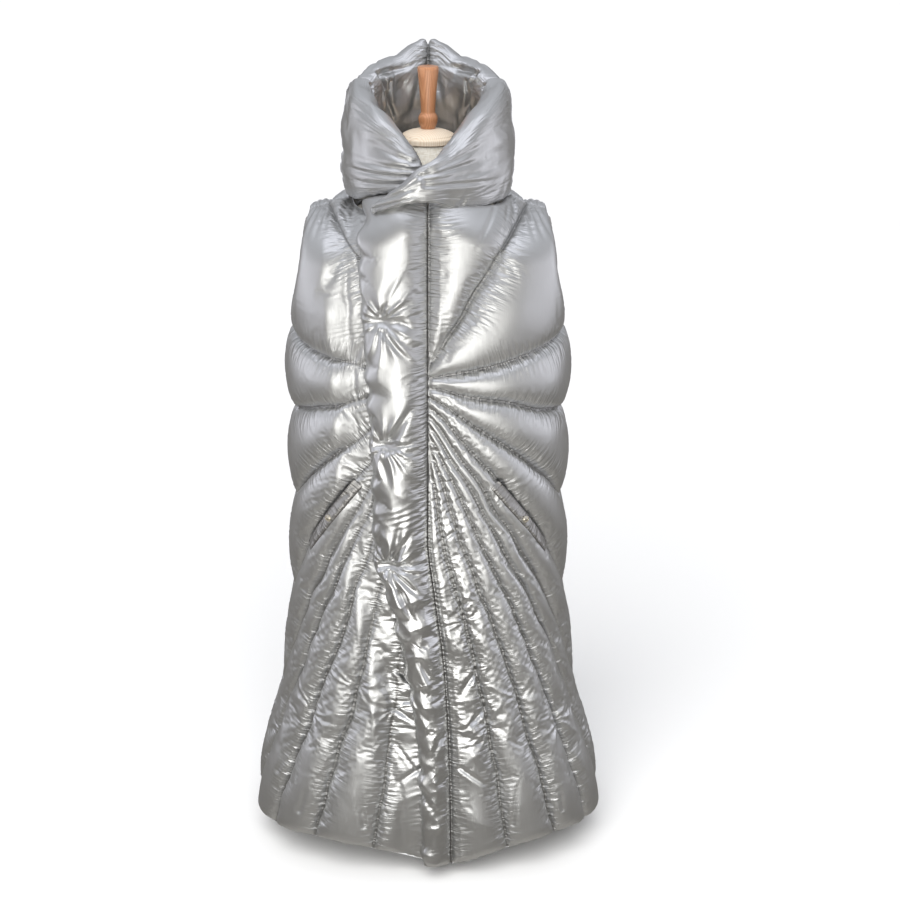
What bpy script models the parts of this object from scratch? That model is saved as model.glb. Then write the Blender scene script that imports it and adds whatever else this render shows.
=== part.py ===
"""A long, hooded, sleeveless down vest with sunray quilting, standing on a limbless dress form.

Metres, +Z up. The origin is on the form's axis, on the underside of its base plate. The vest's
front faces -Y, and the wearer's left is at +X.

The vest's inner wall is a tube round the form that closes over the shoulders. A place on it is
(face, angle, climb): the angle turns from the centre line of the front or the back, 0, to the
side seam, 90 degrees, and the climb is the height, which above the chest runs on over the
shoulder along the cloth. Each padded panel is that wall with a second one lifted off it.
"""

import math

import bpy
import numpy as np



def table(columns, *rows):
    """Rows of numbers with named columns."""
    return np.array(list(rows), dtype=[(name, float) for name in columns.split()])


# ---- Driving dimensions ------------------------------------------------------------------

SEAM_GAP = 0.0003
LAID_ON_GAP = 0.0008
QUARTER = math.pi / 2
SIDE_ANGLE = QUARTER - 0.001  # a panel ends just short of the side seam

# Inner wall of the vest, hem to chest.
BODY = table(
    "height half_width front_depth back_depth",
    (0.000, 0.316, 0.200, 0.200),
    (0.110, 0.311, 0.196, 0.194),
    (0.310, 0.266, 0.176, 0.168),
    (0.500, 0.239, 0.160, 0.148),
    (0.700, 0.230, 0.150, 0.136),
    (0.880, 0.229, 0.147, 0.132),
    (1.050, 0.231, 0.146, 0.130),
    (1.200, 0.231, 0.140, 0.124),
)
CORNER_FULLNESS = 0.30  # how much squarer than an ellipse a section is

# The closure's centre seam swings to the wearer's left towards the hem.
CENTRE_DRIFT = table(
    "height drift",
    (0.000, 0.044),
    (0.240, 0.040),
    (0.420, 0.030),
    (0.560, 0.013),
    (0.680, 0.000),
    (1.300, 0.000),
)

# Shoulder line, the edge that both panels reach at the top.
RIDGE_HEIGHT = 1.290
RIDGE_SLOPE = 0.28
RIDGE_SOFTNESS = 0.03
NECK_RISE = 0.038
NECK_RISE_WIDTH = 0.09
SHOULDER_DROP = 0.065  # height over which the panels curve over to the shoulder line

# Outline of a panel.
NECK_HALF_WIDTH = 0.128
NECK_FRONT_DEPTH = 0.118
NECK_BACK_DEPTH = 0.088
SHOULDER_HALF_WIDTH = 0.2075
SHOULDER_RAY_AT = 0.172
UNDERARM_HEIGHT = 1.045
ARMHOLE_HOOK = 3.2  # how late the armhole's edge turns in to the side seam
ARMHOLE_STEPS = 6
NECK_STEPS = 4
NECK_CHANNEL = 0.65  # place of the neckline's corner between the centre seam and the shoulder ray
SHOULDER_CHANNEL = 1.25  # place of the shoulder's tip between the shoulder ray and the next
SIDE_RAY_COUNT = 4
FIRST_SIDE_STEP = 0.166
SIDE_STEP_GROWTH = 1.10
HEM_RAY_COUNT = 3
HEM_HEIGHT = 0.042  # at the side seams and the centre seams, less the dip there
HEM_RISE = 0.024  # half way between them
HEM_DIP = 0.016
HEM_DIP_ANGLE = 0.20
CENTRE_UNDERLAP = 0.014  # the right front's edge stops this far short of the centre seam

# Quilting: rays start in even steps down the centre seam and fan out to the outline.
FAN_TOP = 1.000
FAN_STEP = 0.0165
CHANNEL_BREAKS = (0.24, 0.76, 1.0)  # columns inside a channel, as parts of its width
RADIAL_STEPS = 9
SEAM_THICKNESS = 0.008
PUFF_LIMIT = 0.029
PUFF_PER_WIDTH = 0.36
EDGE_ROUND = 0.034

# The padded strip over the closure.
PLACKET = table(
    "height free_edge",
    (0.024, 0.050),
    (0.240, 0.052),
    (0.420, 0.065),
    (0.560, 0.079),
    (0.640, 0.097),
    (0.770, 0.097),
    (0.960, 0.104),
    (1.140, 0.114),
    (1.215, 0.116),
    (1.262, 0.100),
)
PLACKET_STEPS_ACROSS = 5
PLACKET_PUFF = 0.020
PLACKET_EDGE = 0.011
UNDER_PLACKET_PUFF = 0.003
UNDER_PLACKET_BLEND = 0.045
UNDER_PLACKET_CLEAR = 0.030
PLACKET_LIFT = 0.0150
PLACKET_ROOT_LIFT = 0.003
PLACKET_STEP_UP = CENTRE_UNDERLAP - 0.002
TACK_HEIGHTS = (1.085, 0.862, 0.632)
TACK_REACH = 0.030
TACK_DEPTH = 0.75

# Hood and its crossing fronts: a padded wall round the neck, by angle from the centre back.
HOOD_HALF_WIDTH = 0.1250
HOOD_BACK_DEPTH = 0.108
HOOD_FRONT_DEPTH = 0.134
HOOD_LEAN = 0.055  # the wall leans in this much for each unit of height
HOOD_LEAN_FROM = 1.380
WALL = "turn bottom top thickness outset"
HOOD_WALL = table(
    WALL,
    (0, 1.3005, 1.544, 0.040, 0.000),
    (25, 1.2995, 1.522, 0.044, 0.000),
    (52, 1.2882, 1.500, 0.046, 0.000),
    (76, 1.2850, 1.486, 0.048, 0.000),
)
CROSSING_FLAP_WALL = table(
    WALL,
    (76, 1.2850, 1.484, 0.052, 0.000),
    (105, 1.287, 1.474, 0.052, 0.000),
    (135, 1.284, 1.448, 0.048, 0.000),
    (155, 1.292, 1.416, 0.044, 0.002),
    (166, 1.296, 1.394, 0.040, 0.010),
    (178, 1.302, 1.372, 0.035, 0.031),
    (190, 1.302, 1.352, 0.033, 0.037),
    (205, 1.293, 1.332, 0.029, 0.040),
    (224, 1.279, 1.302, 0.018, 0.044),
)
UNDER_FLAP_WALL = table(
    WALL,
    (76, 1.2850, 1.484, 0.052, 0.000),
    (105, 1.281, 1.474, 0.052, 0.000),
    (135, 1.297, 1.448, 0.046, 0.000),
    (155, 1.309, 1.415, 0.038, 0.000),
    (168, 1.313, 1.386, 0.026, 0.000),
    (176, 1.315, 1.368, 0.016, 0.000),
)
WALL_SIDES = 14
WALL_SQUARENESS = 2.9

# Pocket welts lie along this side ray, on the lower side of it.
POCKET_RAY = 5
POCKET_RADIAL_STEPS = (2, 4)
STUD_CELL = 1
WELT_THICKNESS = 0.005
STUD_RADIUS = 0.006
STUD_HEIGHT = 0.003

BINDING_RADIUS = 0.0055
BINDING_SIDES = 7
BINDING_CLEARANCE = 0.0026  # off the curve of the armhole, whose edge is cut in straight steps
BINDING_STEPS = 44

# Dress form.
BASE_RADIUS = 0.140
BASE_HEIGHT = 0.012
POLE_RADIUS = 0.0125
TORSO_FLOOR = 0.620
FORM_REST_GAP = 0.0006  # the vest rests on the shoulders
CHEST_RINGS = table(
    "height half_width depth",
    (0.620, 0.148, 0.104),
    (0.680, 0.160, 0.116),
    (0.760, 0.156, 0.113),
    (0.860, 0.131, 0.098),
    (0.940, 0.126, 0.096),
    (1.030, 0.145, 0.108),
    (1.110, 0.162, 0.112),
    (1.170, 0.178, 0.098),
    (1.210, 0.187, 0.082),
)
SHOULDER_RINGS = table("height depth", (1.234, 0.068), (1.240, 0.064), (1.248, 0.060), (1.257, 0.057))
NECK_RINGS = table(
    "height half_width depth",
    (1.2720, 0.073, 0.057),
    (1.2900, 0.060, 0.055),
    (1.3300, 0.053, 0.053),
    (1.3725, 0.047, 0.047),
)
TORSO_SIDES = 40
CAP = table(
    "radius height",
    (0.048, 1.3728),
    (0.051, 1.3760),
    (0.051, 1.3830),
    (0.047, 1.3855),
    (0.045, 1.3875),
    (0.034, 1.3935),
    (0.020, 1.3970),
    (0.014, 1.3975),
)
FINIAL = table(
    "radius height",
    (0.0130, 1.3978),
    (0.0138, 1.4030),
    (0.0165, 1.4085),
    (0.0172, 1.4140),
    (0.0155, 1.4205),
    (0.0127, 1.4260),
    (0.0140, 1.4500),
    (0.0168, 1.4800),
    (0.0188, 1.5000),
    (0.0182, 1.5050),
    (0.0120, 1.5070),
)
TURNED_SIDES = 28

FRONT, BACK = -1, 1
LEFT, RIGHT = 1, -1

# ---- Materials ---------------------------------------------------------------------------


def material(name, colour, roughness, metallic=0.0):
    """A Principled material, made once for each name."""
    made = bpy.data.materials.get(name)
    if made is None:
        made = bpy.data.materials.new(name)
        made.use_nodes = True
        shader = made.node_tree.nodes["Principled BSDF"]
        shader.inputs["Base Color"].default_value = (*colour, 1.0)
        shader.inputs["Roughness"].default_value = roughness
        shader.inputs["Metallic"].default_value = metallic
        made.diffuse_color = (*colour, 1.0)
    return made


def foil_nylon():
    return material("foil_coated_nylon", (0.33, 0.31, 0.295), 0.36, 0.85)


def pocket_nylon():
    return material("pocket_nylon", (0.30, 0.285, 0.27), 0.40, 0.85)


def binding_nylon():
    return material("binding_nylon", (0.42, 0.40, 0.38), 0.42, 0.6)


def form_linen():
    return material("form_linen", (0.72, 0.68, 0.60), 0.85)


def pale_pine():
    return material("pale_pine", (0.82, 0.70, 0.50), 0.5)


def orange_beech():
    return material("orange_beech", (0.50, 0.24, 0.11), 0.45)


def stud_brass():
    return material("stud_brass", (0.66, 0.60, 0.48), 0.3, 1.0)


def pole_steel():
    return material("pole_steel", (0.55, 0.56, 0.57), 0.3, 1.0)


# ---- Meshes ------------------------------------------------------------------------------


def add_object(name, points, faces, surface):
    """A mesh object with its faces pointing outwards, smooth but for its sharp edges."""
    points = np.asarray(points, float)
    fans = [(face[0], face[i], face[i + 1]) for face in faces for i in range(1, len(face) - 1)]
    if np.linalg.det(points[np.array(fans)]).sum() < 0:
        faces = [tuple(reversed(face)) for face in faces]
    mesh = bpy.data.meshes.new(name)
    mesh.from_pydata(points.tolist(), [], [tuple(int(i) for i in face) for face in faces])
    mesh.shade_smooth()
    mesh.set_sharp_from_angle(angle=math.radians(50))
    mesh.materials.append(surface)
    made = bpy.data.objects.new(name, mesh)
    bpy.context.scene.collection.objects.link(made)
    return made


def wall_faces(columns, rows):
    """Triangles of two matching grids, the second behind the first, joined round their rims.

    Both grids split their cells along the same diagonal, so a piece laid on another that shares
    its points never cuts through it.
    """
    index = np.arange(columns * rows).reshape(columns, rows)
    a, b = index[:-1, :-1].ravel(), index[1:, :-1].ravel()
    c, d = index[1:, 1:].ravel(), index[:-1, 1:].ravel()
    grid = np.concatenate([np.stack([a, b, c], 1), np.stack([a, c, d], 1)])
    behind = columns * rows
    rim = np.concatenate([index[:, 0], index[-1, 1:], index[-2::-1, -1], index[0, -2:0:-1]])
    after = np.roll(rim, -1)
    side = np.concatenate(
        [np.stack([rim, rim + behind, after], 1), np.stack([after, rim + behind, after + behind], 1)]
    )
    return np.concatenate([grid, grid[:, ::-1] + behind, side])


def add_wall(name, outer, inner, surface):
    """A closed wall between two grids of points."""
    columns, rows = outer.shape[:2]
    points = np.concatenate([outer.reshape(-1, 3), inner.reshape(-1, 3)])
    return add_object(name, points, wall_faces(columns, rows), surface)


def add_loft(name, rings, surface, closed=False):
    """A skin through rings of equally many points, capped at both ends unless it closes on itself."""
    count, sides = rings.shape[:2]
    faces = []
    for ring in range(count if closed else count - 1):
        here, there = ring * sides, (ring + 1) % count * sides
        for side in range(sides):
            after = (side + 1) % sides
            faces.append((here + side, here + after, there + after, there + side))
    if not closed:
        faces.append(tuple(range(sides))[::-1])
        faces.append(tuple(range((count - 1) * sides, count * sides)))
    return add_object(name, rings.reshape(-1, 3), faces, surface)


def profile(table, column, at):
    """A table's column by its first one: a cubic through the rows that never overshoots them."""
    x, y = table[table.dtype.names[0]], table[column]
    step = np.diff(x)
    slope = np.diff(y) / step
    tangent = np.zeros_like(y)
    same_way = slope[:-1] * slope[1:] > 0
    total = np.where(same_way, slope[:-1] + slope[1:], 1.0)
    tangent[1:-1] = np.where(same_way, 2 * slope[:-1] * slope[1:] / total, 0.0)
    at = np.clip(at, x[0], x[-1])
    row = np.clip(np.searchsorted(x, at, side="right") - 1, 0, len(step) - 1)
    t = (at - x[row]) / step[row]
    return (
        y[row] * (1 + 2 * t) * (1 - t) ** 2
        + tangent[row] * step[row] * t * (1 - t) ** 2
        + y[row + 1] * t**2 * (3 - 2 * t)
        - tangent[row + 1] * step[row] * t**2 * (1 - t)
    )


def normalised(vectors):
    return vectors / np.linalg.norm(vectors, axis=-1, keepdims=True)


# ---- The vest's inner wall ---------------------------------------------------------------


def ridge_height(x):
    """Height of the shoulder line at a distance x from the middle."""
    slope = RIDGE_HEIGHT - RIDGE_SLOPE * np.sqrt(x**2 + RIDGE_SOFTNESS**2)
    return slope + NECK_RISE * np.exp(-((x / NECK_RISE_WIDTH) ** 2))


def section(face, angle, climb):
    """Sideways place and depth of the wall before it curves over the shoulder."""
    half_width = profile(BODY, "half_width", climb)
    depth = profile(BODY, "front_depth" if face == FRONT else "back_depth", climb)
    if face == FRONT:
        drift = profile(CENTRE_DRIFT, "drift", climb) / half_width
        angle = angle + drift * (1 - np.abs(angle) / QUARTER)
    x = half_width * np.sin(angle)
    return x, depth * np.cos(angle) * (1 + CORNER_FULLNESS * np.sin(angle) ** 2)


def shoulder_arc(x, depth):
    """Height where the wall starts to curve over, and the length of cloth from there to the ridge."""
    start = ridge_height(x) - SHOULDER_DROP
    return start, QUARTER * np.sqrt((SHOULDER_DROP**2 + depth**2) / 2)


def wall_point(face, angle, climb):
    x, depth = section(face, angle, climb)
    start, arc = shoulder_arc(x, depth)
    over = np.maximum(climb - start, 0) / arc * QUARTER
    z = np.where(climb < start, climb, start + SHOULDER_DROP * np.sin(over))
    return np.stack([x, face * depth * np.cos(over), z], axis=-1)


def wall_normal(face, angle, climb):
    """Unit vector off the wall, from its slopes round and up."""
    d = 1e-4
    round_it = wall_point(face, angle + d, climb) - wall_point(face, angle - d, climb)
    up_it = wall_point(face, angle, climb + d) - wall_point(face, angle, climb - d)
    return normalised(np.cross(round_it, up_it)) * -face


def mean_radius(face, climb):
    """Length of wall for each radian of angle."""
    depth = profile(BODY, "front_depth" if face == FRONT else "back_depth", climb)
    return (profile(BODY, "half_width", climb) + depth * (1 + CORNER_FULLNESS)) / 2


# ---- A panel's outline and quilting ------------------------------------------------------


def angle_at(x):
    """Angle of the chest section at a distance x from the middle."""
    return math.asin(x / BODY["half_width"][-1])


def ridge_climb(face, angle):
    """Climb at which a panel ends, just short of the shoulder line."""
    start, arc = shoulder_arc(*section(face, angle, BODY["height"][-1]))
    return float(start + arc) - SEAM_GAP / 2


def neck_place(face, inset, turn):
    """(angle, climb) on the neckline, an oval seen from above, at a turn from its middle."""
    angle = angle_at(inset + (NECK_HALF_WIDTH - inset) * math.sin(turn))
    x, depth = section(face, angle, BODY["height"][-1])
    start, arc = shoulder_arc(x, depth)
    inside = (NECK_FRONT_DEPTH if face == FRONT else NECK_BACK_DEPTH) * math.cos(turn)
    return angle, float(start + arc * math.acos(min(1.0, inside / depth)) / QUARTER)


def armhole_place(face, down):
    """(angle, climb) on the armhole's edge, from the shoulder, 0, to the underarm, 1."""
    top = angle_at(SHOULDER_HALF_WIDTH)
    angle = top + (SIDE_ANGLE - top) * down**ARMHOLE_HOOK
    top_climb = ridge_climb(face, top)
    return angle, top_climb + (UNDERARM_HEIGHT - top_climb) * down


def hem_climb(angle):
    """Height of the hem, which dips to a point at the centre seams."""
    dip = HEM_DIP * math.exp(-((angle / HEM_DIP_ANGLE) ** 2))
    return HEM_HEIGHT + HEM_RISE * math.sin(2 * angle) ** 2 - dip


def outline_stations(face, inset):
    """Where quilting columns end on the outline: rows of (channel, angle, climb).

    The channel number is whole on a ray. It runs from the centre seam at the neck, 0, round
    the shoulder, the armhole, the side and the hem to the centre seam at the hem. The panel
    stops an inset short of the centre line.
    """
    first = angle_at(inset)
    neck, ray, tip = (angle_at(x) for x in (NECK_HALF_WIDTH, SHOULDER_RAY_AT, SHOULDER_HALF_WIDTH))
    rows = []
    for part in np.arange(NECK_STEPS) / NECK_STEPS:
        rows.append((NECK_CHANNEL * part, *neck_place(face, inset, QUARTER * part)))
    between = (1 + NECK_CHANNEL) / 2, (neck + ray) / 2
    for channel, angle in ((NECK_CHANNEL, neck), between, (1, ray), (SHOULDER_CHANNEL, tip)):
        rows.append((channel, angle, ridge_climb(face, angle)))
    for down in np.arange(1, ARMHOLE_STEPS + 1) / ARMHOLE_STEPS:
        channel = SHOULDER_CHANNEL + (2 - SHOULDER_CHANNEL) * down
        rows.append((channel, *armhole_place(face, down)))
    steps = [FIRST_SIDE_STEP * SIDE_STEP_GROWTH**i for i in range(SIDE_RAY_COUNT)]
    ends = UNDERARM_HEIGHT - np.cumsum([0, *steps])
    ends = [*ends, hem_climb(QUARTER)]
    for ray_number in range(1, len(ends)):
        for part in CHANNEL_BREAKS:
            climb = ends[ray_number - 1] + (ends[ray_number] - ends[ray_number - 1]) * part
            rows.append((1 + ray_number + part, SIDE_ANGLE, climb))
    corner = 1 + len(ends)
    for ray_number in range(HEM_RAY_COUNT + 1):
        for part in CHANNEL_BREAKS:
            angle = first + (SIDE_ANGLE - first) * (1 - (ray_number + part) / (HEM_RAY_COUNT + 1))
            rows.append((corner + ray_number + part, angle, hem_climb(angle)))
    return np.array(rows)


def fan_climb(channel):
    """Height on the centre seam where a column of the quilting starts."""
    return FAN_TOP + FAN_STEP * (1 - channel)


def centre_seam_climbs():
    """Heights of the points on the front's centre seam, hem to neck, thinned where they are dense."""
    last_channel = outline_stations(FRONT, 0)[-1, 0]
    along = np.sin(np.linspace(0, QUARTER, RADIAL_STEPS + 1))
    low, high = fan_climb(last_channel), fan_climb(0)
    below = low + (hem_climb(0) - low) * along[::-1]
    above = high + (neck_place(FRONT, 0, 0)[1] - high) * along
    starts = fan_climb(np.arange(last_channel - 2, 0, -2))
    return np.concatenate([below, starts, above])


def between_rays(face, stations):
    """Width of each column's channel at its outer end, from one ray's end to the next."""
    rays = stations[np.isclose(stations[:, 0] % 1, 0)]
    places = np.stack([rays[:, 1] * mean_radius(face, rays[:, 2]), rays[:, 2]], 1)
    widths = np.linalg.norm(np.diff(places, axis=0), axis=1)
    channel = np.clip(np.ceil(stations[:, 0] - 1e-6).astype(int) - 1, 0, len(widths) - 1)
    return widths[channel]


def panel_grids(face, hand, inset, under_placket=False):
    """A quilted half panel: its outer and inner grids and their normals, by column and row.

    A column runs straight over the unrolled wall, from its place on the centre seam to its end
    on the outline. The padding is thin on each ray, and it crowns between two of them by as
    much as the channel is wide there.
    """
    stations = outline_stations(face, inset)
    channel, end_angle, end_climb = (stations[:, i : i + 1] for i in range(3))
    along = np.sin(np.linspace(0, QUARTER, RADIAL_STEPS + 1))[None, :]
    climb = fan_climb(channel) + (end_climb - fan_climb(channel)) * along
    first = angle_at(inset)
    spread = (end_angle - first) * mean_radius(face, end_climb) / mean_radius(face, climb)
    angle = first + spread * along
    length = np.hypot(end_angle * mean_radius(face, end_climb), end_climb - fan_climb(channel))

    width = FAN_STEP + (between_rays(face, stations)[:, None] - FAN_STEP) * along
    crown = np.sqrt(np.maximum(4 * (channel % 1) * (1 - channel % 1), 0))
    puff = PUFF_LIMIT * np.tanh(PUFF_PER_WIDTH * width / PUFF_LIMIT)
    if under_placket:
        reach = angle * profile(BODY, "half_width", climb)
        edge = profile(PLACKET, "free_edge", climb) + UNDER_PLACKET_CLEAR
        shown = np.clip((reach - edge) / UNDER_PLACKET_BLEND, 0, 1)
        puff = UNDER_PLACKET_PUFF + (puff - UNDER_PLACKET_PUFF) * shown**2 * (3 - 2 * shown)
    from_end = np.clip((1 - along) * length / EDGE_ROUND, 0, 1)
    thickness = SEAM_THICKNESS + puff * crown * np.sqrt(1 - (1 - from_end) ** 2)

    angle = angle * hand
    inner = wall_point(face, angle, climb)
    normal = wall_normal(face, angle, climb)
    return inner + normal * thickness[..., None], inner, normal


def build_panels():
    """The four quilted panels, and the outer grids and normals of the two fronts."""
    fronts = {}
    for name, face, hand, inset in (
        ("front_left", FRONT, LEFT, SEAM_GAP / 2),
        ("front_right", FRONT, RIGHT, CENTRE_UNDERLAP),
        ("back_left", BACK, LEFT, SEAM_GAP / 2),
        ("back_right", BACK, RIGHT, SEAM_GAP / 2),
    ):
        outer, inner, normal = panel_grids(face, hand, inset, under_placket=name == "front_right")
        add_wall(name, outer, inner, foil_nylon())
        if face == FRONT:
            fronts[hand] = outer, normal
    return fronts


# ---- What is sewn on the panels ----------------------------------------------------------


def build_placket():
    """The padded strip that runs from the centre seam over the right front to its free edge."""
    climb = centre_seam_climbs()[None, :]
    bottom, top = climb.min(), climb.max()
    step = np.linspace(0, 1, PLACKET_STEPS_ACROSS)[:, None]
    free_edge = profile(PLACKET, "free_edge", climb)
    reach = PLACKET_STEP_UP + (free_edge - PLACKET_STEP_UP) * step
    reach = np.concatenate([SEAM_GAP / 2 + 0 * climb, reach])
    across = reach / free_edge
    angle = -np.arcsin(reach / profile(BODY, "half_width", climb))
    lift = np.where(reach < PLACKET_STEP_UP, PLACKET_ROOT_LIFT, PLACKET_LIFT)
    pinch = sum(np.exp(-(((climb - tack) / TACK_REACH) ** 2)) for tack in TACK_HEIGHTS)
    ends = np.clip(np.minimum(climb - bottom, top - climb) / EDGE_ROUND, 0, 1)
    crown = np.sqrt(np.clip(4 * across * (1 - across), 0, 1)) * np.sqrt(1 - (1 - ends) ** 2)
    thickness = PLACKET_EDGE + PLACKET_PUFF * crown * (1 - TACK_DEPTH * np.minimum(pinch, 1))
    place = wall_point(FRONT, angle, climb)
    normal = wall_normal(FRONT, angle, climb)
    inner = place + normal * lift[..., None]
    outer = inner + normal * thickness[..., None]
    add_wall("front_placket", outer, inner, foil_nylon())


def welt_grids(outer, normal):
    """The strip of a panel's points beside the pocket ray, moved out: its two grids."""
    channels = outline_stations(FRONT, 0)[:, 0]
    column = int(np.argmin(np.abs(channels - POCKET_RAY)))
    first, last = POCKET_RADIAL_STEPS
    strip = (slice(column, column + 2), slice(first, last + 1))
    back = outer[strip] + normal[strip] * LAID_ON_GAP
    return back + normal[strip] * WELT_THICKNESS, back


def build_pockets(fronts):
    """A welt and a snap stud on each front."""
    for side, hand in (("left", LEFT), ("right", RIGHT)):
        outer, normal = fronts[hand]
        face, back = welt_grids(outer, normal)
        add_wall(f"pocket_welt_{side}", face, back, pocket_nylon())
        (near, far), (near_below, far_below) = face[:, STUD_CELL : STUD_CELL + 2]
        along = normalised(far + far_below - near - near_below)
        out = normalised(np.cross(far_below - near, near_below - far)) * -hand
        seat = (near + far_below) / 2 + out * LAID_ON_GAP
        side_on = np.cross(out, along)
        turn = np.linspace(0, 4 * QUARTER, 12, endpoint=False)[:, None]
        rim = (np.cos(turn) * along + np.sin(turn) * side_on) * STUD_RADIUS
        rings = [seat + rim, seat + rim + out * STUD_HEIGHT / 2, seat + rim * 0.7 + out * STUD_HEIGHT]
        add_loft(f"pocket_stud_{side}", np.array(rings), stud_brass())


def build_bindings():
    """A rolled binding round each armhole, just off the panels' edges."""
    down = np.linspace(0, 1, BINDING_STEPS // 2 + 1)
    for side, hand in (("left", LEFT), ("right", RIGHT)):
        places, normals = [], []
        for face, run in ((FRONT, down), (BACK, down[-2:0:-1])):
            for step in run:
                angle, climb = armhole_place(face, step)
                places.append(wall_point(face, np.array(angle * hand), np.array(climb)))
                normals.append(wall_normal(face, np.array(angle * hand), np.array(climb)))
        places, normals = np.array(places), np.array(normals)
        tangent = normalised(np.roll(places, -1, axis=0) - np.roll(places, 1, axis=0))
        off_edge = normalised(np.cross(normals, tangent)) * hand
        centre = places + normals * SEAM_THICKNESS / 2
        centre = centre + off_edge * (BINDING_RADIUS + BINDING_CLEARANCE)
        turn = np.linspace(0, 4 * QUARTER, BINDING_SIDES, endpoint=False)[None, :, None]
        around = np.cos(turn) * off_edge[:, None] + np.sin(turn) * normals[:, None]
        rings = centre[:, None] + BINDING_RADIUS * around
        add_loft(f"armhole_binding_{side}", rings, binding_nylon(), closed=True)


# ---- Hood --------------------------------------------------------------------------------


def build_wall_piece(name, rows, hand, first, last, steps):
    """A padded length of the wall round the neck, between two turns from the centre back.

    Its section is a rounded block, as high and as thick as the rows say, on an oval path.
    """
    gap = math.degrees(SEAM_GAP / 2 / HOOD_HALF_WIDTH)
    turn = np.linspace(first + gap, last - gap, steps + 1)
    theta = np.radians(turn)
    depth = np.where(turn < 90, HOOD_BACK_DEPTH, HOOD_FRONT_DEPTH)
    path = np.stack([hand * HOOD_HALF_WIDTH * np.sin(theta), depth * np.cos(theta), 0 * theta], 1)
    outward = np.stack([hand * np.sin(theta) / HOOD_HALF_WIDTH, np.cos(theta) / depth, 0 * theta], 1)
    outward = normalised(outward)
    bottom, top, thick, outset = (profile(rows, column, turn) for column in WALL.split()[1:])
    loop = np.linspace(0, 4 * QUARTER, WALL_SIDES, endpoint=False) + QUARTER / WALL_SIDES
    shape = np.stack([np.cos(loop), np.sin(loop)], 1)
    shape = np.sign(shape) * np.abs(shape) ** (2 / WALL_SQUARENESS)
    height = ((bottom + top) / 2)[:, None] + ((top - bottom) / 2)[:, None] * shape[:, 1]
    off = outset[:, None] + thick[:, None] / 2 * shape[:, 0] + HOOD_LEAN * (HOOD_LEAN_FROM - height)
    rings = path[:, None] + outward[:, None] * off[..., None]
    rings[..., 2] = height
    add_loft(name, rings, foil_nylon())


def build_hood():
    for side, hand in (("left", LEFT), ("right", RIGHT)):
        build_wall_piece(f"hood_{side}", HOOD_WALL, hand, 0, HOOD_WALL["turn"][-1], 10)
    for name, rows, hand, steps in (
        ("collar_flap_left", CROSSING_FLAP_WALL, LEFT, 20),
        ("collar_flap_right", UNDER_FLAP_WALL, RIGHT, 15),
    ):
        build_wall_piece(name, rows, hand, rows["turn"][0], rows["turn"][-1], steps)


# ---- Dress form --------------------------------------------------------------------------


def add_turned(name, outline, surface, sides=TURNED_SIDES):
    """A solid turned on the form's axis, from (radius, height) pairs upwards."""
    turn = np.linspace(0, 4 * QUARTER, sides, endpoint=False)
    circle = np.stack([np.cos(turn), np.sin(turn), 0 * turn], 1)
    rings = [circle * radius + (0, 0, height) for radius, height in outline]
    return add_loft(name, np.array(rings), surface)


def shoulder_half_width(height):
    """Where the form's shoulder line is at a height, just under the vest's."""
    x = np.linspace(0.07, 0.20, 400)
    return float(np.interp(-height, -(ridge_height(x) - FORM_REST_GAP), x))


def build_torso():
    """Oval rings from the hips over the shoulders, which carry the vest, to the neck."""
    shoulders = [(height, shoulder_half_width(height), depth) for height, depth in SHOULDER_RINGS]
    turn = np.linspace(0, 4 * QUARTER, TORSO_SIDES, endpoint=False)
    rings = [
        np.stack([width * np.cos(turn), depth * np.sin(turn), height + 0 * turn], 1)
        for height, width, depth in [*CHEST_RINGS, *shoulders, *NECK_RINGS]
    ]
    add_loft("form_torso", np.array(rings), form_linen())


def build_form():
    build_torso()
    add_turned("form_neck_cap", CAP, pale_pine())
    add_turned("form_finial", FINIAL, orange_beech())
    pole = ((POLE_RADIUS, BASE_HEIGHT + SEAM_GAP), (POLE_RADIUS, TORSO_FLOOR - SEAM_GAP))
    add_turned("form_pole", pole, pole_steel(), sides=20)
    chamfer = 0.002
    plate = (
        (BASE_RADIUS, 0),
        (BASE_RADIUS, BASE_HEIGHT - chamfer),
        (BASE_RADIUS - chamfer, BASE_HEIGHT),
    )
    add_turned("form_base", plate, pole_steel(), sides=40)


def main():
    for old in list(bpy.data.objects):
        bpy.data.objects.remove(old, do_unlink=True)
    fronts = build_panels()
    build_placket()
    build_pockets(fronts)
    build_bindings()
    build_hood()
    build_form()


main()
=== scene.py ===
"""Looks of a long, hooded down vest with sunray quilting, on a limbless dress form.

Metres, +Z up. The vest's front faces -Y and the wearer's left is at +X. The vest's inner wall is
a tube round the form that closes over the shoulders, and a place on it is an angle from the
centre line and a climb, which is the height at the chest and runs on along the cloth above it.
Each padded piece starts as a formula on that wall and is then filled by Blender's cloth solver.
"""

import logging
import math
from dataclasses import dataclass, field, replace
from enum import Enum

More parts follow.
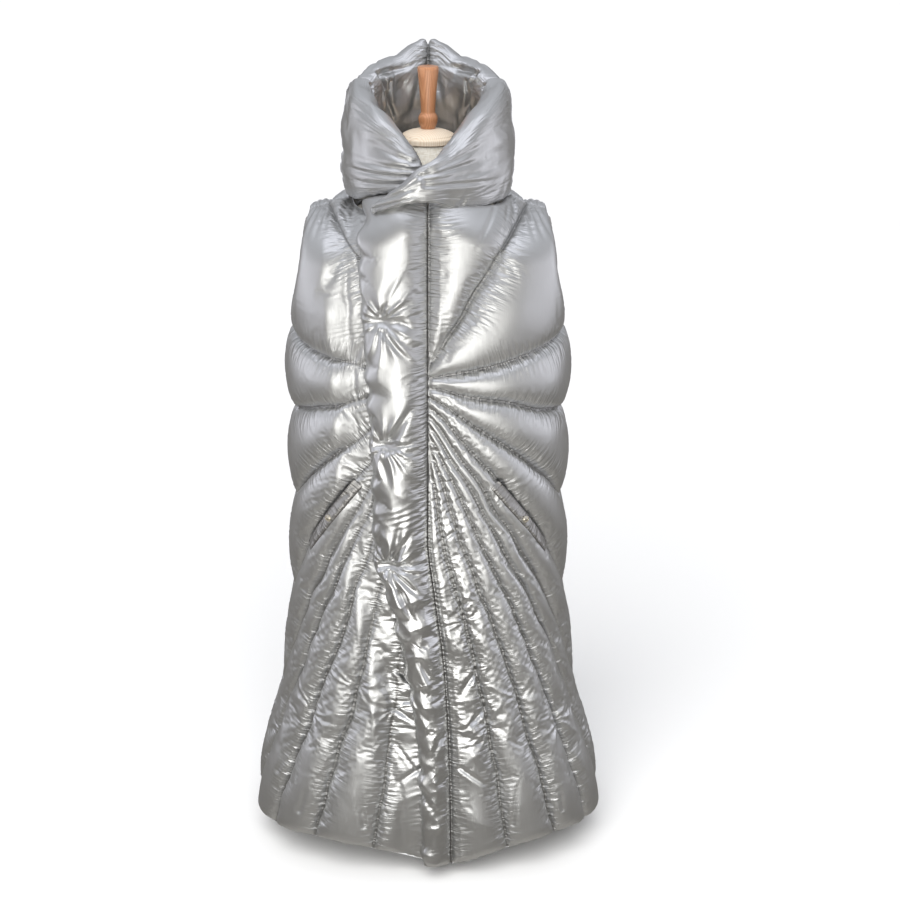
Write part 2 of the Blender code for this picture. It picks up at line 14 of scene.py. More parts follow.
import bpy
import numpy as np
from mathutils.geometry import delaunay_2d_cdt
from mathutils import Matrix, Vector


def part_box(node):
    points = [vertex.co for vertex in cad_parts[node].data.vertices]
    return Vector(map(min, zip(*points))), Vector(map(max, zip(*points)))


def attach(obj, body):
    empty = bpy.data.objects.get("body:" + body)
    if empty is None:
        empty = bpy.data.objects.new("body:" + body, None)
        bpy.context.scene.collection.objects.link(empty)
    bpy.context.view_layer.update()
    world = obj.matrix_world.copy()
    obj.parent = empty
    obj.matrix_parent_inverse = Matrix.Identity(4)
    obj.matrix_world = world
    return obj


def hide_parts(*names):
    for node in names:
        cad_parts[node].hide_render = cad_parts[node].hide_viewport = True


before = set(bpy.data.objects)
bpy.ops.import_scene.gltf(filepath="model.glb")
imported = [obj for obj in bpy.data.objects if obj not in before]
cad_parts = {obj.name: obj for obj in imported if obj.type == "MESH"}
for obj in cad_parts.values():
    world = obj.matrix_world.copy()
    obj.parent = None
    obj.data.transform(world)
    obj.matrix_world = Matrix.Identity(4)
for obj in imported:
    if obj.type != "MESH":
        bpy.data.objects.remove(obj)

Array = np.ndarray
Piece, Material = bpy.types.Object, bpy.types.Material
Tree, Node, Socket = bpy.types.NodeTree, bpy.types.Node, bpy.types.NodeSocket
LOG = logging.getLogger("down_vest")
QUARTER = math.pi / 2
SEAM_GAP = 0.0003
SKIRT_TOP = 0.85
SKIRT_BLEND = 0.2
RIM_CLEARANCE = 0.6  # least distance of a free point from an outline, in spacings
CREASE_COLUMNS = "u0 v0 u1 v1 depth width"


class Face(Enum):
    """Which way a panel faces, as the sign of its depth."""

    FRONT = -1
    BACK = 1


class Side(Enum):
    """The wearer's side, as the sign of X."""

    LEFT = 1
    RIGHT = -1


# ---- Numbers ----


def table(columns: str, *rows: tuple[float, ...]) -> Array:
    """Rows of numbers with named columns."""
    return np.array(list(rows), dtype=[(name, float) for name in columns.split()])


def rows_field(columns: str, *rows: tuple[float, ...]) -> Array:
    """A dataclass field that holds a table."""
    return field(default_factory=lambda: table(columns, *rows))


def cubic(t: Array, start: Array, end: Array, slope_in: Array, slope_out: Array) -> Array:
    """A curve from one value at t = 0 to another at t = 1, with a slope given at each."""
    rise = start * (1 + 2 * t) * (1 - t) ** 2 + slope_in * t * (1 - t) ** 2
    return rise + end * t**2 * (3 - 2 * t) - slope_out * t**2 * (1 - t)


def profile(rows: Array, column: str, at: Array) -> Array:
    """A table's column by its first one: a cubic through the rows that never overshoots them.

    Args:
        rows: the table, its first column rising.
        column: the column to read.
        at: places in the first column's measure.

    Returns:
        The column's value at each place.
    """
    x, y = rows[rows.dtype.names[0]], rows[column]
    step = np.diff(x)
    slope = np.diff(y) / step
    tangent = np.zeros_like(y)
    same_way = slope[:-1] * slope[1:] > 0
    total = np.where(same_way, slope[:-1] + slope[1:], 1.0)
    tangent[1:-1] = np.where(same_way, 2 * slope[:-1] * slope[1:] / total, 0.0)
    at = np.clip(at, x[0], x[-1])
    row = np.clip(np.searchsorted(x, at, side="right") - 1, 0, len(step) - 1)
    t = (at - x[row]) / step[row]
    return cubic(t, y[row], y[row + 1], tangent[row] * step[row], tangent[row + 1] * step[row])


def normalised(vectors: Array) -> Array:
    """The vectors at unit length."""
    return vectors / np.maximum(np.linalg.norm(vectors, axis=-1, keepdims=True), 1e-12)


def smooth_step(t: Array) -> Array:
    """0 below 0, 1 above 1, and a smooth S between."""
    t = np.clip(t, 0, 1)
    return t * t * (3 - 2 * t)


def quarter_round(t: Array) -> Array:
    """The height of a quarter circle, which starts upright: 0 below 0 and 1 above 1."""
    return np.sqrt(1 - (1 - np.clip(t, 0, 1)) ** 2)


def half_round(share: Array) -> Array:
    """The height of a half ellipse over 0 to 1, with its top, 1, in the middle."""
    return np.sqrt(np.clip(4 * share * (1 - share), 0, 1))


def in_skirt(climb: Array) -> Array:
    """0 at the chest and 1 in the skirt, with a smooth S between."""
    return smooth_step((SKIRT_TOP - climb) / SKIRT_BLEND)


def full_turn(steps: int) -> Array:
    """Even angles once round."""
    return np.linspace(0, 4 * QUARTER, steps, endpoint=False)


def rolling(points: Array, wavelength: float, seed: int, waves: int = 14) -> Array:
    """An even, random swell: a sum of sine waves turned every way, of about one wavelength.

    Args:
        points: places, in any number of dimensions.
        wavelength: mean length of a wave.
        seed: which swell.
        waves: how many sine waves it is made of.

    Returns:
        A height at each place, mostly from -2 to 2, with a mean square of 1.
    """
    rng = np.random.default_rng(seed)
    way = normalised(rng.normal(size=(waves, points.shape[-1])))
    way *= 2 * math.pi / (wavelength * rng.uniform(0.7, 1.4, (waves, 1)))
    return np.sin(points @ way.T + rng.uniform(0, 2 * math.pi, waves)).sum(-1) / math.sqrt(waves / 2)


def crumpled(points: Array, wavelength: float, seed: int) -> Array:
    """Foil-like facets: two swells folded sharply where they cross zero, the second half as long.

    Args:
        points: places.
        wavelength: mean distance between folds.
        seed: which folds.

    Returns:
        A height at each place, about -1 to 0.4, with sharp ridges and rounded hollows.
    """
    large = np.abs(rolling(points, 2 * wavelength, seed))
    small = np.abs(rolling(points, wavelength, seed + 1))
    return 0.4 - 0.55 * large - 0.3 * small


def creased(places: Array, rows: Array) -> Array:
    """Creases pressed into a surface, each a sharp trough between two soft ridges.

    Each runs along a straight line of the surface's flat plane. It is deepest where its row
    starts and fades to nothing at its end. Across it the height is a narrow bell curve, turned
    down, on a wide one.

    Args:
        places: points of the plane, n by 2.
        rows: a table of creases: u0, v0, u1, v1, depth and width.

    Returns:
        Height at each point.
    """
    start = np.stack([rows["u0"], rows["v0"]], 1)
    way = np.stack([rows["u1"], rows["v1"]], 1) - start
    rel = places[:, None] - start
    along = (rel * way).sum(-1) / (way**2).sum(-1)
    away = np.linalg.norm(rel - np.clip(along, 0, 1)[..., None] * way, axis=-1) / rows["width"]
    across = 0.45 * np.exp(-((away / 2.6) ** 2)) - np.exp(-(away**2))
    return (rows["depth"] * smooth_step(1.15 * (1 - along)) * across).sum(-1)


def star(places: Array, centre: tuple[float, float], arms: int, radius: float, seed: int) -> Array:
    """Creases that radiate from a stitch that pulls the cloth down.

    Round the stitch the height is 0.6 - |sin(arms/2 turn)|, which has sharp ridges and round
    hollows, bent by a random wobble. It falls off by the radius.

    Args:
        places: points of the flat plane, n by 2.
        centre: the stitch.
        arms: how many ridges.
        radius: how far they reach, by a factor of e.
        seed: which wobble.

    Returns:
        Height at each point, about -0.4 to 0.6.
    """
    rel = places - np.array(centre)
    away = np.linalg.norm(rel, axis=1)
    turn = np.arctan2(rel[:, 1], rel[:, 0])
    wobble = 0.9 * np.sin(2 * turn + seed) + 0.7 * np.sin(3 * turn + 2 * seed)
    wobble += 0.35 * rolling(rel, 2 * radius, seed)
    reach = radius * (1 + 0.35 * np.sin(5 * turn + seed) + 0.25 * np.sin(8 * turn))
    ridges = 0.6 - np.abs(np.sin(arms / 2 * turn + wobble))
    return ridges * np.exp(-away / reach) * away / (away + 0.2 * radius)


def gathered(run: Array, off: Array, line: Array, spacing: float, seed: int) -> Array:
    """Folds that stitching draws across a seam, sharp ridges that each have their own length.

    Args:
        run: distance along the seam.
        off: distance from it.
        line: the seam's number, so that no two match.
        spacing: mean distance between folds.
        seed: which folds.

    Returns:
        Height at each point, about -0.45 to 0.55 at the seam. It falls off by 6 to 34 mm.
    """
    at = np.stack([run, 0.31 * line], 1)
    phase = math.pi * (run + 0.35 * off) / spacing + 1.3 * rolling(at, 5 * spacing, seed) + line
    length = 0.006 + 0.014 * np.clip(rolling(at, 2.6 * spacing, seed + 1), 0, 2)
    return (0.55 - np.abs(np.sin(phase))) * np.exp(-off / length)


# ---- Meshes ----


def make_object(
    name: str, points: Array, faces: Array, values: dict[str, Array] | None = None
) -> Piece:
    """A smooth mesh object with its faces pointing outwards.

    Args:
        name: the object's name.
        points: its vertices, n by 3.
        faces: triangles or quads by vertex number.
        values: a number kept at each vertex, by attribute name.

    Returns:
        The object, linked to the scene, at the origin.
    """
    fan = np.concatenate([faces[:, [0, i, i + 1]] for i in range(1, faces.shape[1] - 1)])
    if np.linalg.det(points[fan]).sum() < 0:
        faces = faces[:, ::-1]
    mesh = bpy.data.meshes.new(name)
    mesh.from_pydata(points.tolist(), [], faces.tolist())
    for key, value in (values or {}).items():
        mesh.attributes.new(key, "FLOAT", "POINT").data.foreach_set("value", value.astype("f"))
    mesh.shade_smooth()
    made = bpy.data.objects.new(name, mesh)
    bpy.context.scene.collection.objects.link(made)
    return made


def foil_values(gathering: Array, off: Array, run: Array, crumple: Array) -> dict[str, Array]:
    """What the foil's finish reads: gathers, distance off and along a seam, and crushing."""
    names = ("gathering", "seam_distance", "seam_run", "crumple")
    return dict(zip(names, (gathering, off, run, crumple)))


def refine(piece: Piece) -> None:
    """Adds one level of subdivision surface, the same in the viewport and the render."""
    smooth = piece.modifiers.new("Subdivision", "SUBSURF")
    smooth.levels = smooth.render_levels = 1


def triangulated(plane: Array, loop: int, seams: Array) -> Array:
    """Triangles between points of a plane, inside a closed outline, that keep the seams as edges.

    Args:
        plane: the points, n by 2, the outline's first and in order.
        loop: how many of them are the outline.
        seams: pairs of point numbers along the seams.

    Returns:
        Triangles by point number.
    """
    around = np.arange(loop)
    edges = np.concatenate([np.stack([around, np.roll(around, -1)], 1), seams.reshape(-1, 2)])
    made = delaunay_2d_cdt(plane.tolist(), edges.tolist(), [], 1, 1e-7)
    source = np.array([origin[0] for origin in made[3]])
    return source[np.array(made[2])]


def halved(faces: Array, count: int) -> tuple[Array, Array]:
    """Splits every triangle into four by a new point in the middle of each edge.

    Args:
        faces: triangles by point number.
        count: how many points there are so far.

    Returns:
        The pair of points that each new point lies between, in order, and the new triangles.
    """
    corners = np.stack([faces, np.roll(faces, -1, axis=1)], -1).reshape(-1, 2)
    pairs, number = np.unique(np.sort(corners, axis=1), axis=0, return_inverse=True)
    a, b, c = faces.T
    ab, bc, ca = number.reshape(-1, 3).T + count
    parts = [(a, ab, ca), (ab, b, bc), (ca, bc, c), (ab, bc, ca)]
    return pairs, np.concatenate([np.stack(part, 1) for part in parts])


def bulged(points: Array, faces: Array, pairs: Array) -> Array:
    """New points between pairs, pushed off the chord so that the surface stays round.

    With unit normals m and n at ends a and b, the push along their mean is (n - m).(b - a) / 8.

    Args:
        points: the surface's points, n by 3.
        faces: its triangles.
        pairs: the ends that each new point lies between.

    Returns:
        The new points.
    """
    corner = points[faces]
    across = np.cross(corner[:, 1] - corner[:, 0], corner[:, 2] - corner[:, 0])
    normal = np.zeros_like(points)
    for i in range(3):
        np.add.at(normal, faces[:, i], across)
    normal = normalised(normal)
    a, b = pairs.T
    push = ((normal[b] - normal[a]) * (points[b] - points[a])).sum(1) / 8
    return (points[a] + points[b]) / 2 + normalised(normal[a] + normal[b]) * push[:, None]


def between(grid: Array, closed: bool = False) -> Array:
    """A grid with a row added between each two, by the cubic through the four nearest rows.

    Args:
        grid: rows of anything.
        closed: whether the last row joins the first.

    Returns:
        The grid with its new rows.
    """
    if closed:
        around = np.concatenate([grid[-1:], grid, grid[:2]])
    else:
        around = np.concatenate([2 * grid[:1] - grid[1:2], grid, 2 * grid[-1:] - grid[-2:-1]])
    middle = (9 * (around[1:-2] + around[2:-1]) - around[:-3] - around[3:]) / 16
    made = np.empty((len(grid) + len(middle), *grid.shape[1:]))
    made[::2], made[1::2] = grid, middle
    return made


def finer(grid: Array, closed: bool = False) -> Array:
    """A grid with its rows and its columns doubled. Its columns may close on themselves."""
    return between(between(grid).swapaxes(0, 1), closed).swapaxes(0, 1)


# ---- The vest's inner wall ----


@dataclass(frozen=True, eq=False)
class Wall:
    """The tube of cloth that the vest's panels are padded out from."""

    body: Array = rows_field(
        "height half_width front_depth back_depth",
        (0.000, 0.316, 0.200, 0.200), (0.110, 0.311, 0.196, 0.194), (0.310, 0.266, 0.176, 0.168),
        (0.500, 0.239, 0.160, 0.148), (0.700, 0.230, 0.150, 0.136), (0.880, 0.229, 0.147, 0.132),
        (1.050, 0.231, 0.146, 0.130), (1.200, 0.231, 0.140, 0.124),
    )
    centre_drift: Array = rows_field(
        "height drift",
        (0.000, 0.044), (0.240, 0.040), (0.420, 0.030), (0.560, 0.013), (0.680, 0.000),
        (1.300, 0.000),
    )
    corner_fullness: float = 0.30
    ridge_top: float = 1.290
    ridge_slope: float = 0.28
    ridge_softness: float = 0.03
    neck_rise: float = 0.038
    neck_rise_width: float = 0.09
    shoulder_drop: float = 0.065

    @property
    def top(self) -> float:
        """Height of the chest section, which the shoulders keep."""
        return self.body["height"][-1]

    def half_width(self, climb: Array) -> Array:
        """Half width of the tube."""
        return profile(self.body, "half_width", climb)

    def ridge_height(self, x: Array) -> Array:
        """Height of the shoulder line at a distance x from the middle."""
        slope = self.ridge_top - self.ridge_slope * np.sqrt(x**2 + self.ridge_softness**2)
        return slope + self.neck_rise * np.exp(-((x / self.neck_rise_width) ** 2))

    def depth_at(self, face: Face, climb: Array) -> Array:
        """Depth of the wall on its centre line."""
        return profile(self.body, "front_depth" if face is Face.FRONT else "back_depth", climb)

    def section(self, face: Face, angle: Array, climb: Array) -> tuple[Array, Array]:
        """Sideways place and depth before the wall curves over the shoulder.

        The section is an ellipse, x = a sin(angle) and y = b cos(angle), squared at its corners
        by the factor 1 + fullness sin(angle)^2. The front's centre line drifts sideways.

        Args:
            face: front or back.
            angle: angles from the centre line.
            climb: climbs.

        Returns:
            The sideways places and the depths.
        """
        half_width = self.half_width(climb)
        if face is Face.FRONT:
            drift = profile(self.centre_drift, "drift", climb) / half_width
            angle = angle + drift * (1 - np.abs(angle) / QUARTER)
        squared = 1 + self.corner_fullness * np.sin(angle) ** 2
        return half_width * np.sin(angle), self.depth_at(face, climb) * np.cos(angle) * squared

    def shoulder_arc(self, x: Array, depth: Array) -> tuple[Array, Array]:
        """Height where the wall starts to curve over, and the cloth's length on to the ridge."""
        arc = QUARTER * np.sqrt((self.shoulder_drop**2 + depth**2) / 2)
        return self.ridge_height(x) - self.shoulder_drop, arc

    def point(self, face: Face, angle: Array, climb: Array) -> Array:
        """Places on the wall: straight up to the shoulder, then a quarter ellipse to the ridge.

        Args:
            face: front or back.
            angle: angles from the centre line.
            climb: climbs.

        Returns:
            The places.
        """
        x, depth = self.section(face, angle, climb)
        start, arc = self.shoulder_arc(x, depth)
        over = np.maximum(climb - start, 0) / arc * QUARTER
        z = np.where(climb < start, climb, start + self.shoulder_drop * np.sin(over))
        return np.stack([x, face.value * depth * np.cos(over), z], axis=-1)

    def normal(self, face: Face, angle: Array, climb: Array) -> Array:
        """Unit vectors off the wall, across its slopes round and up.

        Args:
            face: front or back.
            angle: angles from the centre line.
            climb: climbs.

        Returns:
            A unit vector for each place.
        """
        d = 1e-4
        round_it = self.point(face, angle + d, climb) - self.point(face, angle - d, climb)
        up_it = self.point(face, angle, climb + d) - self.point(face, angle, climb - d)
        return normalised(np.cross(round_it, up_it)) * -face.value

    def place(self, face: Face, side: Side, angle: Array, climb: Array) -> tuple[Array, Array]:
        """Places on the wearer's side of the wall, and unit vectors off it."""
        angle = angle * side.value
        return self.point(face, angle, climb), self.normal(face, angle, climb)

    def mean_radius(self, face: Face, climb: Array) -> Array:
        """Length of wall for each radian of angle."""
        deep = self.depth_at(face, climb) * (1 + self.corner_fullness)
        return (self.half_width(climb) + deep) / 2

    def angle_at(self, x: Array) -> Array:
        """Angle of the chest section at a distance x from the middle."""
        return np.arcsin(x / self.body["half_width"][-1])


# ---- A quilted half panel ----


@dataclass(frozen=True, eq=False)
class Quilting:
    """Where each point lies in the quilting, all in metres but the share and the ray."""

    ray: Array  # number of the nearest ray
    run: Array  # distance along it from the centre seam
    off: Array  # distance from it
    width: Array  # width of the channel here
    share: Array  # place across the channel, 0 to 1


@dataclass(frozen=True, eq=False)
class PanelCut:
    """Outline and rays of a half panel, on the wall unrolled flat: (distance round, climb).

    Rays start in even steps down the centre seam and fan out to the outline. A channel number
    is whole on a ray, and it runs from the centre seam at the neck, 0, round the shoulder, the
    armhole, the side and the hem to the centre seam at the hem.
    """

    wall: Wall
    face: Face
    inset: float
    neck_half_width: float = 0.128
    neck_front_depth: float = 0.118
    neck_back_depth: float = 0.088
    shoulder_half_width: float = 0.2075
    shoulder_ray_at: float = 0.172
    underarm_height: float = 1.045
    armhole_hook: float = 3.2
    side_angle: float = QUARTER - 0.001
    neck_channel: float = 0.65
    shoulder_channel: float = 1.25
    side_rays: int = 4
    first_side_step: float = 0.166
    side_step_growth: float = 1.10
    hem_rays: int = 3
    hem_height: float = 0.042
    hem_rise: float = 0.024
    hem_dip: float = 0.016
    hem_dip_angle: float = 0.20
    fan_top: float = 1.000
    fan_step: float = 0.0165
    outline_steps: int = 80  # from one mark of the outline to the next

    @property
    def corner(self) -> int:
        """Channel number of the corner between the side and the hem."""
        return 3 + self.side_rays

    @property
    def last(self) -> int:
        """Channel number of the centre seam at the hem."""
        return self.corner + self.hem_rays + 1

    def ridge_climb(self, angle: Array) -> Array:
        """Climb at which the panel ends, just short of the shoulder line."""
        start, arc = self.wall.shoulder_arc(*self.wall.section(self.face, angle, self.wall.top))
        return start + arc - SEAM_GAP / 2

    def neck_place(self, turn: Array) -> tuple[Array, Array]:
        """Angle and climb on the neckline, which is an oval seen from above.

        Args:
            turn: angles round the oval from its middle.

        Returns:
            The angles and the climbs.
        """
        angle = self.wall.angle_at(self.inset + (self.neck_half_width - self.inset) * np.sin(turn))
        x, depth = self.wall.section(self.face, angle, self.wall.top)
        start, arc = self.wall.shoulder_arc(x, depth)
        deep = self.neck_front_depth if self.face is Face.FRONT else self.neck_back_depth
        return angle, start + arc * np.arccos(np.minimum(1, deep * np.cos(turn) / depth)) / QUARTER

    def armhole_place(self, down: Array) -> tuple[Array, Array]:
        """Angle and climb on the armhole's edge.

        Args:
            down: places on it, from the shoulder, 0, to the underarm, 1.

        Returns:
            The angles and the climbs.
        """
        top = self.wall.angle_at(self.shoulder_half_width)
        top_climb = self.ridge_climb(top)
        angle = top + (self.side_angle - top) * down**self.armhole_hook
        return angle, top_climb + (self.underarm_height - top_climb) * down

    def hem_climb(self, angle: Array) -> Array:
        """Height of the hem, which dips to a point at the centre seams."""
        dip = self.hem_dip * np.exp(-((angle / self.hem_dip_angle) ** 2))
        return self.hem_height + self.hem_rise * np.sin(2 * angle) ** 2 - dip

    def place(self, channel: Array) -> tuple[Array, Array]:
        """Angle and climb on the outline at a channel number.

        Args:
            channel: channel numbers, 0 to last.

        Returns:
            The angles and the climbs.
        """
        wall = self.wall
        first = wall.angle_at(self.inset)
        neck_angle, neck_climb = self.neck_place(np.clip(channel / self.neck_channel, 0, 1) * QUARTER)
        marks = [self.neck_channel, 1, self.shoulder_channel]
        stops = (self.neck_half_width, self.shoulder_ray_at, self.shoulder_half_width)
        ridge_angle = np.interp(channel, marks, [wall.angle_at(x) for x in stops])
        down = np.clip((channel - self.shoulder_channel) / (2 - self.shoulder_channel), 0, 1)
        arm_angle, arm_climb = self.armhole_place(down)
        steps = self.first_side_step * self.side_step_growth ** np.arange(self.side_rays)
        ends = [*(self.underarm_height - np.cumsum([0, *steps])), self.hem_climb(QUARTER)]
        side_climb = np.interp(channel, np.arange(2, self.corner + 1), ends)
        left = 1 - np.clip(channel - self.corner, 0, None) / (self.hem_rays + 1)
        hem_angle = first + (self.side_angle - first) * left
        parts = [channel < end for end in (self.neck_channel, self.shoulder_channel, 2, self.corner)]
        side_angle = self.side_angle + 0 * channel
        angles = [neck_angle, ridge_angle, arm_angle, side_angle]
        climbs = [neck_climb, self.ridge_climb(ridge_angle), arm_climb, side_climb]
        return np.select(parts, angles, hem_angle), np.select(parts, climbs, self.hem_climb(hem_angle))

    def unrolled(self, angle: Array, climb: Array) -> Array:
        """Points of the flat plane."""
        round_it = (angle - self.wall.angle_at(self.inset)) * self.wall.mean_radius(self.face, climb)
        return np.stack([round_it, climb], axis=-1)

    def rolled(self, plane: Array) -> tuple[Array, Array]:
        """Angle and climb of points of the flat plane."""
        first = self.wall.angle_at(self.inset)
        return first + plane[..., 0] / self.wall.mean_radius(self.face, plane[..., 1]), plane[..., 1]

    def fan_starts(self, channel: Array) -> Array:
        """Points of the centre seam where rays start."""
        climb = self.fan_top + self.fan_step * (1 - channel)
        return np.stack([0 * climb, climb], axis=-1)

    def outline(self, spacing: float) -> Array:
        """The closed outline as evenly spaced points, with one at each ray's end and corner.

        Args:
            spacing: distance between points.

        Returns:
            Rows of a point of the plane and its channel number, up the centre seam, where the
            number is -1, and round.
        """
        marks = sorted({*range(self.last + 1), self.neck_channel, self.shoulder_channel})
        rays = np.arange(self.last, -1, -1.0)
        hem, neck = (self.unrolled(*self.place(np.array([at]))) for at in (float(self.last), 0.0))
        seam = np.concatenate([hem, self.fan_starts(rays), neck])
        seam = np.concatenate([seam, np.full((len(seam), 1), -1.0)], 1)
        runs = [seam[i : i + 2] for i in range(len(seam) - 1)]
        for start, end in zip(marks, marks[1:]):
            channel = np.linspace(start, end - 1e-9, self.outline_steps)
            runs.append(np.concatenate([self.unrolled(*self.place(channel)), channel[:, None]], 1))
        return np.concatenate([spaced(run, spacing)[:-1] for run in runs])

    def rays(self) -> tuple[Array, Array]:
        """Starts and ends of the rays. The first and the last are the centre seam itself."""
        channel = np.arange(self.last + 1.0)
        return self.fan_starts(channel), self.unrolled(*self.place(channel))

    def quilting(self, plane: Array) -> Quilting:
        """Where points of the plane lie in the quilting.

        A point's channel is the count of rays that it lies clockwise of. Its distances off the
        rays on both sides add up to the channel's width.

        Args:
            plane: the points, n by 2.

        Returns:
            Where they lie.
        """
        start, end = self.rays()
        way = normalised(end - start)
        rel = plane[:, None] - start
        run = (rel * way).sum(-1)
        past = rel[..., 0] * way[:, 1] - rel[..., 1] * way[:, 0]
        upper = (past[:, 1:-1] > 0).sum(1)
        row = np.arange(len(plane))
        above, below = np.abs(past[row, upper]), np.abs(past[row, upper + 1])
        nearest = np.where(above < below, upper, upper + 1)
        width = np.maximum(above + below, 1e-6)
        return Quilting(nearest, run[row, nearest], np.minimum(above, below), width, above / width)


def spaced(line: Array, spacing: float) -> Array:
    """A line's points, moved to lie evenly along it, its ends kept.

    Args:
        line: points along the line. Any columns after the second are read off in step.
        spacing: distance wanted between points.

    Returns:
        The new points.
    """
    along = np.concatenate([[0], np.cumsum(np.linalg.norm(np.diff(line[:, :2], axis=0), axis=1))])
    count = max(1, round(along[-1] / spacing))
    at = np.linspace(0, along[-1], count + 1)
    return np.stack([np.interp(at, along, line[:, i]) for i in range(line.shape[1])], axis=1)


def nearest(points: Array, others: Array, block: int = 2000) -> tuple[Array, Array]:
    """The nearest of some other points to each point.

    Args:
        points: the points, n by 2 or 3.
        others: the other points.
        block: how many points are measured at once.

    Returns:
        The distance of each point from its nearest one, and that one's number.
    """
    number, distance = [], []
    for i in range(0, len(points), block):
        away = np.linalg.norm(points[i : i + block, None] - others, axis=2)
        number.append(away.argmin(1))
        distance.append(away.min(1))
    return np.concatenate(distance), np.concatenate(number)


def inside(points: Array, loop: Array) -> Array:
    """Whether each point is inside an outline: a line to the right crosses it an odd number of times.

    Args:
        points: the points, n by 2.
        loop: the closed outline's points, in order.

    Returns:
        True or False for each point.
    """
    x, y = points[:, :1], points[:, 1:]
    (x0, y0), (x1, y1) = loop.T, np.roll(loop, -1, axis=0).T
    rise = np.where(y1 == y0, 1, y1 - y0)
    crosses = ((y0 > y) != (y1 > y)) & (x < x0 + (y - y0) / rise * (x1 - x0))
    return crosses.sum(1) % 2 == 1


def lattice(loop: Array, spacing: float) -> Array:
    """Points in rows of equal triangles, inside an outline and a little clear of it.

    Args:
        loop: the closed outline's points, in order.
        spacing: distance between points.

    Returns:
        The points, n by 2.
    """
    low, high = loop.min(0), loop.max(0)
    rows = np.arange(low[1], high[1], spacing * math.sqrt(3) / 2)
    x = np.arange(low[0], high[0] + spacing, spacing)
    grid = x[None, :] + (np.arange(len(rows)) % 2 * spacing / 2)[:, None]
    free = np.stack([grid, np.broadcast_to(rows[:, None], grid.shape)], axis=-1).reshape(-1, 2)
    free = free[inside(free, loop)]
    return free[nearest(free, loop)[0] > RIM_CLEARANCE * spacing]


# ---- Filling with down ----


@dataclass
class Shell:
    """An outer sheet of cloth before it is filled."""

    name: str
    points: Array
    faces: Array
    pinned: Array  # 1 where the cloth is sewn down, 0 where it is free
    reach: Array  # how far each point may move
    spare: float = 0.005  # how much wider than its start the cloth is cut
    pressure: float = 5.0


@dataclass
class Filling:
    """Blender's cloth solver blows up every sewn-down sheet at once, with no gravity."""

    frames: int = 18
    quality: int = 4
    mass: float = 0.20
    air_damping: float = 3.0
    stretch_stiffness: float = 12
    shear_stiffness: float = 4
    bending_stiffness: float = 0.08
    still: float = 1e-9  # a point that moved less hasn't moved
    shells: list[Shell] = field(default_factory=list)

    def add(self, shell: Shell) -> None:
        """Takes a sheet in for the next run."""
        self.shells.append(shell)

    def cloth_of(self, shell: Shell) -> Piece:
        """The sheet as an object with a live Cloth modifier.

        Args:
            shell: the sheet.

        Returns:
            The object.
        """
        piece = make_object(f"filling_{shell.name}", shell.points, shell.faces)
        pins = piece.vertex_groups.new(name="sewn")
        for weight in (0.0, 1.0):
            pins.add(np.flatnonzero(shell.pinned == weight).tolist(), weight, "REPLACE")
        cloth = piece.modifiers.new("Cloth", "CLOTH")
        cloth.point_cache.frame_start = 1
        cloth.point_cache.frame_end = self.frames
        made = cloth.settings
        for key in ("quality", "mass", "air_damping", "shear_stiffness", "bending_stiffness"):
            setattr(made, key, getattr(self, key))
        made.tension_stiffness = made.compression_stiffness = self.stretch_stiffness
        made.vertex_group_mass = pins.name
        made.shrink_min = -shell.spare
        made.use_pressure = True
        made.uniform_pressure_force = shell.pressure
        made.effector_weights.gravity = 0
        cloth.collision_settings.use_collision = False
        return piece

    def run(self) -> dict[str, Array]:
        """Returns:
            Each sheet's points by its name, none further from its start than its reach.
        """
        scene = bpy.context.scene
        pieces = [self.cloth_of(shell) for shell in self.shells]
        for step in range(1, self.frames + 1):
            scene.frame_set(step)
        graph = bpy.context.evaluated_depsgraph_get()
        filled = {}
        for shell, piece in zip(self.shells, pieces):
            mesh = piece.evaluated_get(graph).to_mesh()
            points = np.empty(len(mesh.vertices) * 3, np.float32)
            mesh.vertices.foreach_get("co", points)
            moved = points.reshape(-1, 3).astype(float) - shell.points
            far = np.linalg.norm(moved, axis=1)
            still = far <= self.still
            held = np.where(still, 0, shell.reach * np.tanh(far / shell.reach) / np.maximum(far, self.still))
            filled[shell.name] = shell.points + moved * held[:, None]
            LOG.info("filled %s: moved %.1f mm at most", shell.name, 1000 * far.max())
        for piece in pieces:
            bpy.data.objects.remove(piece, do_unlink=True)
        scene.frame_set(1)
        return filled


# ---- Panels ----

PLACKET_EDGE = table(
    "height free_edge",
    (0.024, 0.050), (0.240, 0.052), (0.420, 0.065), (0.560, 0.079), (0.640, 0.097), (0.770, 0.097),
    (0.960, 0.104), (1.140, 0.114), (1.215, 0.116), (1.262, 0.100),
)


@dataclass(frozen=True, eq=False)
class PanelSheet:
    """A panel's outer sheet, ready to fill, and where its points lie."""

    name: str
    cut: PanelCut
    side: Side
    seed: int
    plane: Array
    rim: Array  # numbers of the outline's points, in order
    faces: Array
    quilting: Quilting
    edge: Array  # distance from the outline
    around: Array  # distance along it to its nearest point
    free_rim: Array  # 1 where that point isn't on the centre seam
    crumple: Array  # 0 where the foil is smooth, 1 where it is crushed
    normal: Array
    outer: Array


